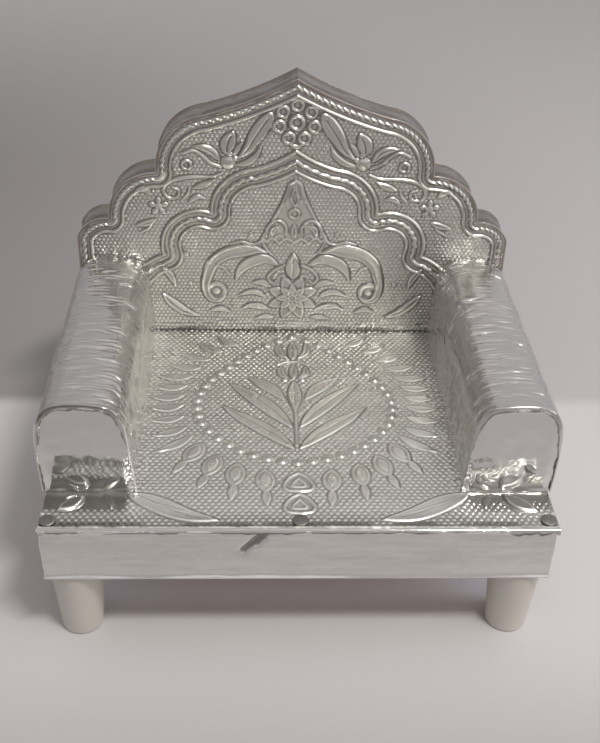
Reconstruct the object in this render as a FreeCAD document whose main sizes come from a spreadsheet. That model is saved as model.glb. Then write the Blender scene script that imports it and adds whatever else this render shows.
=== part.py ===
"""Small shrine throne (simhasan): wooden boards clad in thin embossed metal sheet.

Frame: X across (left is negative), Y from front to back, Z up from the floor.
The origin is on the floor under the centre of the whole throne. Lengths are in millimetres.
"""
import FreeCAD
import Part
import Sketcher
import math
import os

os.makedirs("parts", exist_ok=True)

V = FreeCAD.Vector
doc = FreeCAD.newDocument("shrine_throne")

# Driving sizes
SIZES = {
    # whole throne
    "throne_wide": 150,
    "seat_deep": 107,
    "seat_board_thick": 19,
    "sheet_thick": 0.3,
    # sheet folds
    "lip_high": 1.2,
    "flange_wide": 5,
    # backrest
    "back_thick": 11,
    "back_high": 94.6,
    # arms
    "arm_wide": 27.9,
    "arm_high": 31.4,
    "arm_overhang": 0.85,
    "arm_setback": 16.7,
    "hem_wide": 1.5,
    # legs
    "leg_high": 26,
    "leg_top_radius": 8.2,
    "leg_foot_radius": 6.4,
    "leg_side_inset": 0.3,
    "leg_front_inset": 0.8,
    "foot_bevel": 0.5,
    "recess_play": 0.5,
    "recess_deep": 15,
    # round nails on the seat's front edge
    "front_nail_head_radius": 2.4,
    "front_nail_head_high": 0.6,
    "front_nail_long": 13,
    "front_nail_side_inset": 2.7,
    "front_nail_inset": 4,
    # nails from behind
    "rear_nail_head_radius": 2.6,
    "rear_nail_head_high": 0.8,
    "rear_nail_long": 30,
    "rear_nail_side_inset": 27,
    "arm_nail_high": 20,
    # screws from below
    "screw_head_radius": 2.9,
    "screw_head_high": 1.8,
    "screw_radius": 1.5,
    "leg_screw_bite": 12,
    "arm_screw_bite": 14,
    "arm_screw_front_inset": 19.3,
    "arm_screw_rear_inset": 23,
    # shared by nails, screws and their holes
    "nail_radius": 1,
    "hole_clearance": 0.05,
    "hole_spare": 0.5,
    # raised lines and forms on the backrest
    "rib_high": 0.6,
    "border_rope_from": 1.5,
    "border_rope_wide": 1.7,
    "arch_high": 70.2,
    "arch_band_from": 2.8,
    "arch_band_wide": 4.1,
    # raised forms on the seat
    "seat_relief_high": 0.4,
    "oval_side_margin": 16.45,
    "oval_front_margin": 28.5,
    "oval_rear_margin": 8.5,
    "oval_rib_wide": 1.3,
    "ring_leaf_long": 11,
    "ring_leaf_wide": 4.2,
    "ring_leaf_gap": 2.6,
    "inner_leaf_long": 33,
    "inner_leaf_wide": 5.4,
    "inner_leaf_margin": 10.5,
}

sheet = doc.addObject("Spreadsheet::Sheet", "sizes")
for row, (alias, size) in enumerate(SIZES.items(), start=1):
    sheet.set(f"A{row}", alias.replace("_", " "))
    sheet.set(f"B{row}", str(size))
    sheet.setAlias(f"B{row}", alias)
doc.recompute()

# Counts and angles
RING_LEAVES = 28
OVAL_SIDES = 40
ROSETTE_PETALS = 8
LEAF_LEAN_ANGLES = (38, 31)
# Turned pieces have even flats: few on hidden shanks and on the holes that they fill, more where they show
SHANK_FLATS = 8
SCREW_HEAD_FLATS = 12
NAIL_HEAD_FLATS = 24
RECESS_FLATS = 24
LEG_FLATS = 36

# Places that several pieces share, written from the driving sizes
HALF_WIDE = "(sizes.throne_wide / 2)"
SHEET = "sizes.sheet_thick"
FRONT = "(-(sizes.seat_deep + sizes.sheet_thick + sizes.back_thick + sizes.rear_nail_head_high) / 2)"
BACK_FRONT = f"({FRONT} + sizes.seat_deep)"
BACK_DEEP = "(sizes.back_thick + 2 * sizes.sheet_thick)"
BACK_REAR = f"({BACK_FRONT} + {BACK_DEEP})"
UNDER = "sizes.leg_high"
BOARD_LOW = f"({UNDER} + {SHEET})"
BOARD_TOP = f"({BOARD_LOW} + sizes.seat_board_thick)"
SEAT_TOP = f"({BOARD_TOP} + {SHEET})"
ARM_FRONT = f"({FRONT} + sizes.arm_setback)"
LEG_X = f"({HALF_WIDE} - sizes.leg_side_inset - sizes.leg_top_radius)"
LEG_INSET_Y = "(sizes.leg_front_inset + sizes.leg_top_radius)"
ARM_OUTER = f"({HALF_WIDE} + sizes.arm_overhang)"
ARM_INNER = f"({ARM_OUTER} - sizes.arm_wide)"
ARM_X = f"({ARM_OUTER} - sizes.arm_wide / 2)"
FRONT_NAIL_X = f"({HALF_WIDE} - sizes.front_nail_side_inset)"
REAR_NAIL_X = f"({HALF_WIDE} - sizes.rear_nail_side_inset)"
NAIL_HOLE = "(sizes.nail_radius + sizes.hole_clearance)"
SCREW_HOLE = "(sizes.screw_radius + sizes.hole_clearance)"
RECESS = "(sizes.screw_head_radius + sizes.recess_play)"
ARM_SCREW_ROWS = {
    "first": f"({ARM_FRONT} + sizes.arm_screw_front_inset)",
    "last": f"({BACK_FRONT} - sizes.arm_screw_rear_inset)",
}


def number(expression):
    """Give an expression's present value."""
    found = sheet.evalExpression(expression)
    return float(getattr(found, "Value", found))


def bind(thing, **expressions):
    """Bind properties to expressions; double underscores stand for dots."""
    for name, expression in expressions.items():
        thing.setExpression(name.replace("__", "."), expression)
    return thing


def closed_chain(sketch, steps):
    """Draw a closed outline. Each step is (x, y, through): the point, then a point of the arc
    that leads on from it, or None where a straight line does. Points are expressions."""
    spots = [(number(x), number(y)) for x, y, _ in steps]
    pieces = []
    for place, (_, _, through) in enumerate(steps):
        first = V(*spots[place], 0)
        last = V(*spots[(place + 1) % len(spots)], 0)
        if through is None:
            pieces.append((sketch.addGeometry(Part.LineSegment(first, last), False), 1, 2))
            continue
        middle = V(number(through[0]), number(through[1]), 0)
        piece = sketch.addGeometry(Part.Arc(first, middle, last), False)
        same_way = (sketch.getPoint(piece, 1) - first).Length < (sketch.getPoint(piece, 2) - first).Length
        pieces.append((piece, 1, 2) if same_way else (piece, 2, 1))

    def pin(piece, end, x, y):
        for kind, expression in (("DistanceX", x), ("DistanceY", y)):
            rule = sketch.addConstraint(Sketcher.Constraint(kind, -1, 1, piece, end, number(expression)))
            sketch.setExpression(f"Constraints[{rule}]", expression)

    for place, (piece, start, end) in enumerate(pieces):
        following, next_start, _ = pieces[(place + 1) % len(pieces)]
        sketch.addConstraint(Sketcher.Constraint("Coincident", piece, end, following, next_start))
    for (piece, start, _), (x, y, through) in zip(pieces, steps):
        pin(piece, start, x, y)
        if through is not None:
            marker = sketch.addGeometry(Part.Point(V(number(through[0]), number(through[1]), 0)), True)
            sketch.addConstraint(Sketcher.Constraint("PointOnObject", marker, 1, piece))
            pin(marker, 1, *through)
    return sketch


def upright_outline(name, steps):
    """An outline in the plane that faces the front: x across, y of the sketch up."""
    sketch = doc.addObject("Sketcher::SketchObject", name)
    sketch.Placement = FreeCAD.Placement(V(0, 0, 0), FreeCAD.Rotation(V(1, 0, 0), 90))
    return closed_chain(sketch, steps)


def inset(name, outline, distance):
    """The same outline, drawn in by a distance."""
    drawn_in = doc.addObject("Part::Offset2D", name)
    drawn_in.Source = outline
    drawn_in.Join = 0
    return bind(drawn_in, Value=f"-({distance})")


def slab(name, outline, start, thick):
    """An upright outline extruded backwards from a depth."""
    solid = doc.addObject("Part::Extrusion", name)
    solid.Base = outline
    solid.DirMode = "Custom"
    solid.Dir = V(0, 1, 0)
    solid.Solid = True
    return bind(solid, LengthFwd=thick, Placement__Base__y=start)


def block(name, x, y, z):
    """A box from (low, high) expressions along each axis."""
    box = doc.addObject("Part::Box", name)
    return bind(box, Length=f"{x[1]} - ({x[0]})", Width=f"{y[1]} - ({y[0]})", Height=f"{z[1]} - ({z[0]})",
                Placement__Base__x=x[0], Placement__Base__y=y[0], Placement__Base__z=z[0])


UPRIGHT = FreeCAD.Rotation(V(1, 0, 0), 0)
HEAD_BACK = FreeCAD.Rotation(V(1, 0, 0), -90)
HEAD_DOWN = FreeCAD.Rotation(V(1, 0, 0), 180)


def placed(thing, turn, x, y, z):
    """Turn a piece and bind its place."""
    thing.Placement = FreeCAD.Placement(V(0, 0, 0), turn)
    return bind(thing, Placement__Base__x=x, Placement__Base__y=y, Placement__Base__z=z)


def flatted(name, flats, radius, long):
    """A straight bar with even flats, standing on its place."""
    bar = doc.addObject("Part::Prism", name)
    bar.Polygon = flats
    return bind(bar, Circumradius=radius, Height=long)


def drill(name, radius, deep, x, y, z, turn=UPRIGHT, flats=SHANK_FLATS):
    """A tool for a hole that runs on from its place, up or backwards."""
    return placed(flatted(name, flats, radius, deep), turn, x, y, z)


def fastener(name, sizes, turn, x, y, z, head_flats):
    """A headed nail or screw. The head stands on its place, and the shank runs the other way."""
    head_radius, head_high, radius, long = sizes
    shank = bind(flatted(name + "_shank", SHANK_FLATS, radius, long), Placement__Base__z=f"-({long})")
    head = flatted(name + "_head", head_flats, head_radius, head_high)
    return placed(join(name, [shank, head]), turn, x, y, z)


def gather(name, pieces):
    group = doc.addObject("Part::Compound", name)
    group.Links = pieces
    return group


def cut(name, base, tool):
    result = doc.addObject("Part::Cut", name)
    result.Base = base
    result.Tool = tool
    return result


def join(name, pieces):
    result = doc.addObject("Part::MultiFuse", name)
    result.Shapes = pieces
    return result


def mirrored(name, source):
    """The same piece on the other side of the throne."""
    twin = doc.addObject("Part::Mirroring", name)
    twin.Source = source
    twin.Normal = V(1, 0, 0)
    return twin


def origin_item(body, role):
    return next(item for item in body.Origin.OriginFeatures if item.Role == role)


def body_sketch(body, name, plane, steps):
    sketch = body.newObject("Sketcher::SketchObject", name)
    sketch.AttachmentSupport = (origin_item(body, plane), [""])
    sketch.MapMode = "FlatFace"
    return closed_chain(sketch, steps)


# Backrest outline: half of an ogee arch in three tiers, as shares of half the width and of the
# height above the seat. Each point is followed by the point that its arc passes through.
BACK_SHARES = [
    ((1.0, 0.396), (0.965, 0.442)),
    ((0.849, 0.475), (0.800, 0.590)),
    ((0.624, 0.655), (0.571, 0.795)),
    ((0.413, 0.867), (0.200, 0.924)),
]

# Arch that is raised on the backrest, as shares of half the throne's width and of the arch's height
ARCH_SHARES = [
    ((0.790, 0.150), (0.740, 0.330)),
    ((0.600, 0.446), (0.545, 0.645)),
    ((0.378, 0.675), (0.328, 0.829)),
    ((0.193, 0.903), (0.092, 0.942)),
]

# Bud: shares of its length, from its foot, and of half its width
BUD_SHARES = [(0, 0), (0.25, -0.85), (0.6, -0.9), (1, 0), (0.6, 0.9), (0.25, 0.85)]

# Forms on the left half of the backrest, as shares of half the throne's width and of the backrest's
# height. Each leaf has its foot, its tip and its width, which is a share of its length.
BACK_LEAF_SHARES = [
    ((-0.115, 0.875), (-0.267, 0.709), 0.30),
    ((-0.303, 0.735), (-0.252, 0.846), 0.42),
    ((-0.352, 0.704), (-0.464, 0.755), 0.34),
    ((-0.330, 0.655), (-0.500, 0.640), 0.18),
    ((-0.627, 0.470), (-0.720, 0.447), 0.36),
    ((-0.120, 0.170), (-0.268, 0.158), 0.28),
    ((-0.110, 0.100), (-0.266, 0.090), 0.28),
    ((-0.610, 0.160), (-0.440, 0.070), 0.26),
]
# Rosettes: the centre, then the radius as a share of the backrest's height
ROSETTE_SHARES = [
    ((0, 0.846), 0.082),
    ((-0.304, 0.692), 0.036),
    ((-0.615, 0.526), 0.038),
    ((0, 0.153), 0.086),
]
ROSETTE_WAIST_SHARE = 0.76
# Scroll: where it starts, a point of its outer arc, where it ends, a point of its inner arc
SCROLL_SHARES = [(-0.153, 0.370), (-0.430, 0.270), (-0.373, 0.157), (-0.350, 0.262)]
# Tall bud under the arch, round its left half from the tip
TALL_BUD_SHARES = [(0, 0.630), (-0.060, 0.541), (-0.165, 0.395), (0, 0.405)]

# Arm section: shares of the arm's width, from its outer foot, and of its height. Each point is
# followed by the point that its arc passes through.
ARM_SHARES = [
    ((0, 0), (-0.016, 0.270)),
    ((-0.0215, 0.540), (-0.008, 0.720)),
    ((0.052, 0.866), (0.138, 0.949)),
    ((0.238, 0.989), (0.478, 1.0)),
    ((0.715, 0.976), (0.823, 0.924)),
    ((0.880, 0.842), (0.915, 0.760)),
    ((0.932, 0.650), None),
    ((1, 0), None),
]


def arched_steps(shares, foot, high):
    """A symmetrical arch on a straight foot, from the shares of its right half."""
    def spot(side, share):
        return f"{side} * {HALF_WIDE} * {share[0]}", f"{SEAT_TOP} + {high} * {share[1]}"

    foot_share = shares[0][0][0]
    steps = [(f"{HALF_WIDE} * {foot_share}", foot, None)]
    steps += [(*spot(1, point), spot(1, through)) for point, through in shares]
    steps.append((*spot(0, (0, 1)), spot(-1, shares[-1][1])))
    for (point, _), (_, through) in zip(reversed(shares[1:]), reversed(shares[:-1])):
        steps.append((*spot(-1, point), spot(-1, through)))
    steps.append((*spot(-1, shares[0][0]), None))
    steps.append((f"-{HALF_WIDE} * {foot_share}", foot, None))
    return steps


def arm_steps():
    """The left arm's section, on a low foot that the seat's sheet cuts off."""
    def spot(share):
        return f"-{ARM_OUTER} + sizes.arm_wide * {share[0]}", f"{SEAT_TOP} + sizes.arm_high * {share[1]}"

    steps = [(*spot(point), through and spot(through)) for point, through in ARM_SHARES]
    return [(f"-{ARM_OUTER}", BOARD_TOP, None), *steps, (f"-{ARM_INNER}", BOARD_TOP, None)]


# Drilled holes
REAR_NAIL_PLACES = [
    (f"{place} * {REAR_NAIL_X}", f"{BOARD_LOW} + sizes.seat_board_thick / 2") for place in (-1, 0, 1)
] + [
    (f"{side} * {ARM_X}", f"{SEAT_TOP} + sizes.arm_nail_high") for side in (-1, 1)
]
rear_drills = gather("rear_drills", [
    drill(f"rear_nail_hole_{place}", NAIL_HOLE, "sizes.rear_nail_long + sizes.hole_spare",
          x, f"{BACK_REAR} - sizes.rear_nail_long - sizes.hole_spare", z, turn=HEAD_BACK)
    for place, (x, z) in enumerate(REAR_NAIL_PLACES, start=1)
])

ARM_SCREW_LONG = f"(sizes.seat_board_thick - sizes.screw_head_high + {SHEET} + sizes.arm_screw_bite)"
ARM_SCREW_SEAT = f"({BOARD_LOW} + sizes.screw_head_high)"
arm_drills = gather("arm_drills", [
    drill(f"arm_screw_hole_{row_name}_{side}", SCREW_HOLE, f"{ARM_SCREW_LONG} + sizes.hole_spare",
          f"{side} * {ARM_X}", y, ARM_SCREW_SEAT)
    for row_name, y in ARM_SCREW_ROWS.items()
    for side in (-1, 1)
])

# Seat board, with its drilled and counterbored holes
plank = doc.addObject("PartDesign::Body", "plank")
plank_x = f"{HALF_WIDE} - {SHEET}"
plank_sketch = body_sketch(plank, "plank_outline", "XY_Plane", [
    (f"-({plank_x})", f"{FRONT} + {SHEET}", None),
    (plank_x, f"{FRONT} + {SHEET}", None),
    (plank_x, BACK_FRONT, None),
    (f"-({plank_x})", BACK_FRONT, None),
])
plank_pad = plank.newObject("PartDesign::Pad", "plank_pad")
plank_pad.Profile = plank_sketch
bind(plank_pad, Length="sizes.seat_board_thick")
bind(plank, Placement__Base__z=BOARD_LOW)

front_nail_holes = [
    drill(f"front_nail_hole_{place}", NAIL_HOLE, "sizes.front_nail_long + sizes.hole_spare + sizes.sheet_thick",
          f"{place} * {FRONT_NAIL_X}", f"{FRONT} + sizes.front_nail_inset",
          f"{SEAT_TOP} - sizes.front_nail_long - sizes.hole_spare")
    for place in (-1, 0, 1)
]
front_drills = gather("front_drills", front_nail_holes)

LEG_ROWS = {
    "legs_front": f"({FRONT} + {LEG_INSET_Y})",
    "legs_rear": f"({BACK_FRONT} - {LEG_INSET_Y})",
}
LEG_SCREW_LONG = "(sizes.leg_high - sizes.recess_deep + sizes.leg_screw_bite)"
leg_drills = gather("leg_drills", [
    drill(f"{row_name}_screw_hole_{side}", SCREW_HOLE, f"{LEG_SCREW_LONG} + sizes.hole_spare",
          f"{side} * {LEG_X}", y, "sizes.recess_deep")
    for row_name, y in LEG_ROWS.items()
    for side in (-1, 1)
])
counterbores = gather("counterbores", [
    drill(f"counterbore_{row_name}_{side}", "sizes.screw_head_radius + sizes.hole_clearance",
          "sizes.screw_head_high", f"{side} * {ARM_X}", y, BOARD_LOW, flats=SCREW_HEAD_FLATS)
    for row_name, y in ARM_SCREW_ROWS.items()
    for side in (-1, 1)
])
seat_tools = join("seat_tools", [front_drills, rear_drills, arm_drills, leg_drills, counterbores])
seat_board = cut("seat_board", plank, seat_tools)

# Plain strip round the seat's front and sides, turned in under the board
strip_outer = block("strip_outer", (f"-{HALF_WIDE}", HALF_WIDE), (FRONT, BACK_FRONT), (UNDER, BOARD_TOP))
strip_inner = block("strip_inner", (f"-({plank_x})", plank_x), (f"{FRONT} + {SHEET}", BACK_FRONT),
                    (BOARD_LOW, BOARD_TOP))
strip_opening = block("strip_opening",
                      (f"-({HALF_WIDE} - sizes.flange_wide)", f"({HALF_WIDE} - sizes.flange_wide)"),
                      (f"{FRONT} + sizes.flange_wide", BACK_FRONT), (UNDER, BOARD_LOW))
base_band = cut("base_band", strip_outer, join("strip_hollow", [strip_inner, strip_opening]))

# Embossed sheet on the seat: one folded section pulled across the throne
seat_fold = doc.addObject("PartDesign::Body", "seat_fold")
fold_sketch = body_sketch(seat_fold, "fold_section", "YZ_Plane", [
    (f"{FRONT} - {SHEET}", f"{BOARD_TOP} - sizes.lip_high", None),
    (FRONT, f"{BOARD_TOP} - sizes.lip_high", None),
    (FRONT, BOARD_TOP, None),
    (BACK_FRONT, BOARD_TOP, None),
    (BACK_FRONT, SEAT_TOP, None),
    (f"{FRONT} - {SHEET}", SEAT_TOP, None),
])
fold_pad = seat_fold.newObject("PartDesign::Pad", "fold_pad")
fold_pad.Profile = fold_sketch
fold_pad.Midplane = True
bind(fold_pad, Length="sizes.throne_wide")


def leaf_axes(angle):
    """Directions along and across a leaf that lies flat."""
    along = V(math.cos(math.radians(angle)), math.sin(math.radians(angle)), 0)
    return along, V(-along.y, along.x, 0)


def long_leaf(foot, angle, long, wide, high):
    """A pointed leaf between two arcs from its foot to its tip."""
    along, across = leaf_axes(angle)
    tip = foot + along * long
    middle = foot + along * (long / 2)
    bulge = across * (wide / 2)
    sides = [Part.Arc(foot, middle + bulge, tip), Part.Arc(tip, middle - bulge, foot)]
    return Part.Face(Part.Wire([side.toShape() for side in sides])).extrude(V(0, 0, high))


def raised_flat(corners, rise):
    """A straight-sided form with a flat top, raised from its corners."""
    return Part.Face(Part.makePolygon([*corners, corners[0]])).extrude(rise)


def bud_leaf(foot, tip, wide, rise):
    """A bud with straight sides, drawn from the shares of its length and half its width."""
    along = tip - foot
    across = rise.cross(along).normalize() * (wide / 2)
    return raised_flat([foot + along * share[0] + across * share[1] for share in BUD_SHARES], rise)


def seat_relief_solid():
    """Oval rib, ring of leaves round it and the leaf pairs that stand in it."""
    top = number(SEAT_TOP)
    high = number("sizes.seat_relief_high")
    near_end = number(f"{FRONT} + sizes.oval_front_margin")
    far_end = number(f"{BACK_FRONT} - sizes.oval_rear_margin")
    centre = V(0, (near_end + far_end) / 2, top)
    half_long = (far_end - near_end) / 2
    half_wide = number(f"{ARM_INNER} - sizes.oval_side_margin")
    rib = number("sizes.oval_rib_wide")
    rise = V(0, 0, high)

    def oval(grow):
        corners = []
        for side in range(OVAL_SIDES):
            angle = 2 * math.pi * side / OVAL_SIDES
            across, back = (half_wide + grow) * math.cos(angle), (half_long + grow) * math.sin(angle)
            corners.append(centre + V(across, back, 0))
        return raised_flat(corners, rise)

    solids = [oval(rib / 2).cut(oval(-rib / 2))]
    reach = rib / 2 + number("sizes.ring_leaf_gap")
    long = number("sizes.ring_leaf_long")
    wide = number("sizes.ring_leaf_wide")
    side_limit = number(ARM_INNER)
    back_limit = number(BACK_FRONT)
    for turn in range(RING_LEAVES):
        angle = 360 * (turn + 0.5) / RING_LEAVES - 90
        direction = V(math.cos(math.radians(angle)), math.sin(math.radians(angle)), 0)
        foot = centre + V((half_wide + reach) * direction.x, (half_long + reach) * direction.y, 0)
        normal = math.degrees(math.atan2(direction.y / half_long, direction.x / half_wide))
        tip = foot + V(math.cos(math.radians(normal)), math.sin(math.radians(normal)), 0) * long
        if abs(tip.x) < side_limit and tip.y < back_limit:
            solids.append(bud_leaf(foot, tip, wide, rise))
    foot_y = near_end + number("sizes.inner_leaf_margin")
    inner_long = number("sizes.inner_leaf_long")
    inner_wide = number("sizes.inner_leaf_wide")
    for step, lean in enumerate(LEAF_LEAN_ANGLES):
        for side in (-1, 1):
            foot = V(side * inner_wide / 2, foot_y + step * inner_long / 3, top)
            solids.append(long_leaf(foot, 90 - side * lean, inner_long, inner_wide, high))
    return solids[0].multiFuse(solids[1:])


seat_relief = doc.addObject("Part::Feature", "seat_relief")
seat_relief.Shape = seat_relief_solid()
seat_tools_thin = join("seat_sheet_tools", [front_drills, arm_drills])
seat_sheet = join("seat_sheet", [cut("seat_fold_drilled", seat_fold, seat_tools_thin), seat_relief])

# Arms: a loaf-shaped block, a sheet wrapped over it and a plain sheet on its front end
arm_outline = upright_outline("arm_outline", arm_steps())
arm_core_outline = inset("arm_core_outline", arm_outline, SHEET)
ARM_LONG = f"({BACK_FRONT} - {ARM_FRONT})"
arm_solid = slab("arm_solid", arm_outline, ARM_FRONT, ARM_LONG)
arm_core = slab("arm_core", arm_core_outline, f"{ARM_FRONT} + {SHEET}", f"{ARM_LONG} - {SHEET}")
arm_hollow = slab("arm_hollow", arm_core_outline, ARM_FRONT, ARM_LONG)
ALL_WIDE = ("-sizes.throne_wide", "sizes.throne_wide")
seat_volume = block("seat_volume", ALL_WIDE, (f"{FRONT} - {SHEET}", BACK_REAR),
                    (UNDER, SEAT_TOP))
hem_outer = slab("hem_outer", arm_outline, f"{ARM_FRONT} - {SHEET}", SHEET)
hem_line = inset("hem_line", arm_outline, "sizes.hem_wide")
hem_inner = slab("hem_inner", hem_line, f"{ARM_FRONT} - {SHEET}", SHEET)
below_hem = block("below_hem", ALL_WIDE, (f"{FRONT} - {SHEET}", BACK_REAR),
                  (UNDER, f"{SEAT_TOP} + sizes.arm_high / 2"))
arm_hem = cut("arm_hem", hem_outer, join("hem_tools", [hem_inner, below_hem]))
arm_shell = cut("arm_shell", arm_solid, join("arm_shell_tools", [arm_hollow, seat_volume]))

arm_block_left = cut("arm_block_left", arm_core, join("arm_block_tools", [rear_drills, arm_drills]))
arm_cover_left = join("arm_cover_left", [arm_shell, arm_hem])
arm_front_left = slab("arm_front_left", arm_core_outline, ARM_FRONT, SHEET)
arm_block_right = mirrored("arm_block_right", arm_block_left)
arm_cover_right = mirrored("arm_cover_right", arm_cover_left)
arm_front_right = mirrored("arm_front_right", arm_front_left)

# Backrest: a cusped board behind the seat, a sheet on each face and a strip round its edge
back_outline = upright_outline("back_outline", arched_steps(BACK_SHARES, UNDER, "sizes.back_high"))
back_core_outline = inset("back_core_outline", back_outline, SHEET)
back_board = cut("back_board",
                 slab("back_plank", back_core_outline, f"{BACK_FRONT} + {SHEET}", "sizes.back_thick"),
                 rear_drills)
back_rear_sheet = cut("back_rear_sheet",
                      slab("rear_plate", back_core_outline, f"{BACK_REAR} - {SHEET}", SHEET),
                      rear_drills)
back_edge_band = cut("back_edge_band",
                     slab("edge_outer", back_outline, BACK_FRONT, BACK_DEEP),
                     slab("edge_inner", back_core_outline, BACK_FRONT, BACK_DEEP))

arch_outline = upright_outline("arch_outline", arched_steps(ARCH_SHARES, BOARD_LOW, "sizes.arch_high"))


def raised_line(name, outline, start, wide):
    """A rib of even width that follows an outline inside it, on the face of the backrest."""
    outer = slab(name + "_outer", inset(name + "_from", outline, start),
                 f"{BACK_FRONT} - sizes.rib_high", "sizes.rib_high")
    inner = slab(name + "_inner", inset(name + "_to", outline, f"{start} + {wide}"),
                 f"{BACK_FRONT} - sizes.rib_high", "sizes.rib_high")
    return cut(name, outer, inner)


ribs = [
    raised_line("border_rope", back_outline, "sizes.border_rope_from", "sizes.border_rope_wide"),
    raised_line("arch_band", arch_outline, "sizes.arch_band_from", "sizes.arch_band_wide"),
]


def back_relief_solid():
    """Leaves, rosettes, scrolls and the tall bud on the backrest."""
    face_y = number(BACK_FRONT)
    half_wide = number(HALF_WIDE)
    back_high = number("sizes.back_high")
    rise = V(0, -number("sizes.rib_high"), 0)

    def spot(side, share):
        return V(side * half_wide * share[0], face_y, number(SEAT_TOP) + back_high * share[1])

    solids = []
    for side in (-1, 1):
        for foot_share, tip_share, wide_share in BACK_LEAF_SHARES:
            foot, tip = spot(side, foot_share), spot(side, tip_share)
            solids.append(bud_leaf(foot, tip, foot.distanceToPoint(tip) * wide_share, rise))
        start, outer, end, inner = [spot(side, share) for share in SCROLL_SHARES]
        arcs = [Part.Arc(start, outer, end).toShape(), Part.Arc(end, inner, start).toShape()]
        solids.append(Part.Face(Part.Wire(arcs)).extrude(rise))
    for centre_share, radius_share in ROSETTE_SHARES:
        for side in (-1, 1) if centre_share[0] else (1,):
            centre = spot(side, centre_share)
            corners = []
            for turn in range(2 * ROSETTE_PETALS):
                angle = math.pi * turn / ROSETTE_PETALS
                reach = back_high * radius_share * (ROSETTE_WAIST_SHARE if turn % 2 else 1)
                corners.append(centre + V(reach * math.cos(angle), 0, reach * math.sin(angle)))
            solids.append(raised_flat(corners, rise))
    left_half = [spot(1, share) for share in TALL_BUD_SHARES]
    right_half = [spot(-1, share) for share in TALL_BUD_SHARES[-2:0:-1]]
    solids.append(raised_flat(left_half + right_half, rise))
    return solids[0].multiFuse(solids[1:])


back_relief = doc.addObject("Part::Feature", "back_relief")
back_relief.Shape = back_relief_solid()
arms_and_seat = join("arms_and_seat", [arm_solid, mirrored("arm_solid_right", arm_solid), seat_volume])
back_plate = cut("back_plate", slab("front_plate", back_core_outline, BACK_FRONT, SHEET), rear_drills)
raised_forms = join("raised_forms", [*ribs, back_relief])
back_sheet = join("back_sheet", [back_plate, cut("open_forms", raised_forms, arms_and_seat)])

# Legs: tapered plastic feet with a round recess below and a hole above it for the screw
LEG_RINGS = {
    "foot": ("sizes.leg_foot_radius - sizes.foot_bevel", "0"),
    "bevel": ("sizes.leg_foot_radius", "sizes.foot_bevel"),
    "top": ("sizes.leg_top_radius", "sizes.leg_high"),
}


def leg_ring(name, radius, level):
    """An even ring of a leg's outside."""
    ring = doc.addObject("Part::RegularPolygon", name)
    ring.Polygon = LEG_FLATS
    return bind(ring, Circumradius=radius, Placement__Base__z=level)


def tapered_leg(name, x, y):
    """One leg: a skin over its rings, with its recess taken out."""
    taper = doc.addObject("Part::Loft", name + "_taper")
    taper.Sections = [leg_ring(f"{name}_{place}", *ring) for place, ring in LEG_RINGS.items()]
    taper.Solid = True
    taper.Ruled = True
    recess = flatted(name + "_recess", RECESS_FLATS, RECESS, "sizes.recess_deep")
    return placed(cut(name, taper, recess), UPRIGHT, x, y, "0")


legs_front, legs_rear = [
    cut(row_name, gather(row_name + "_tapers", [
        tapered_leg(f"{row_name}_taper_{side}", f"{side} * {LEG_X}", y) for side in (-1, 1)
    ]), leg_drills)
    for row_name, y in LEG_ROWS.items()
]

# Nails and screws
FRONT_NAIL = ("sizes.front_nail_head_radius", "sizes.front_nail_head_high", "sizes.nail_radius",
              "sizes.front_nail_long")
REAR_NAIL = ("sizes.rear_nail_head_radius", "sizes.rear_nail_head_high", "sizes.nail_radius",
             "sizes.rear_nail_long")
SCREW = ("sizes.screw_head_radius", "sizes.screw_head_high", "sizes.screw_radius")
front_nails = gather("front_nails", [
    fastener(f"front_nail_{place}", FRONT_NAIL, UPRIGHT, f"{place} * {FRONT_NAIL_X}",
             f"{FRONT} + sizes.front_nail_inset", SEAT_TOP, NAIL_HEAD_FLATS)
    for place in (-1, 0, 1)
])
rear_nails = gather("rear_nails", [
    fastener(f"rear_nail_{place}", REAR_NAIL, HEAD_BACK, x, BACK_REAR, z, NAIL_HEAD_FLATS)
    for place, (x, z) in enumerate(REAR_NAIL_PLACES, start=1)
])
leg_screws = gather("leg_screws", [
    fastener(f"{row_name}_screw_{side}", (*SCREW, LEG_SCREW_LONG), HEAD_DOWN, f"{side} * {LEG_X}", y,
             "sizes.recess_deep", SCREW_HEAD_FLATS)
    for row_name, y in LEG_ROWS.items()
    for side in (-1, 1)
])
arm_screws = gather("arm_screws", [
    fastener(f"arm_screw_{row_name}_{side}", (*SCREW, ARM_SCREW_LONG), HEAD_DOWN, f"{side} * {ARM_X}", y,
             ARM_SCREW_SEAT, SCREW_HEAD_FLATS)
    for row_name, y in ARM_SCREW_ROWS.items()
    for side in (-1, 1)
])

doc.recompute()

sub_parts = [
    seat_board, seat_sheet, base_band,
    arm_block_left, arm_block_right, arm_cover_left, arm_cover_right, arm_front_left, arm_front_right,
    back_board, back_sheet, back_edge_band, back_rear_sheet,
    legs_front, legs_rear, leg_screws, arm_screws, front_nails, rear_nails,
]

for thing in doc.Objects:
    if "Invalid" in thing.State or "Error" in thing.State:
        raise RuntimeError(f"{thing.Label} did not build: {thing.State}")
for sub_part in sub_parts:
    if sub_part.Shape.isNull() or not sub_part.Shape.isValid():
        raise RuntimeError(f"{sub_part.Label} has no sound shape")
for sub_part in sub_parts:
    sub_part.Shape.exportStep(f"parts/{sub_part.Label}.step")
    print(sub_part.Label, len(sub_part.Shape.Solids), round(sub_part.Shape.Volume, 1), sub_part.Shape.BoundBox)
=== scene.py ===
import logging
import math
from dataclasses import dataclass
from enum import Enum
from typing import Any, Callable, Iterable, Sequence

import bpy
import numpy as np
from mathutils import Matrix, Vector


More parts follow.
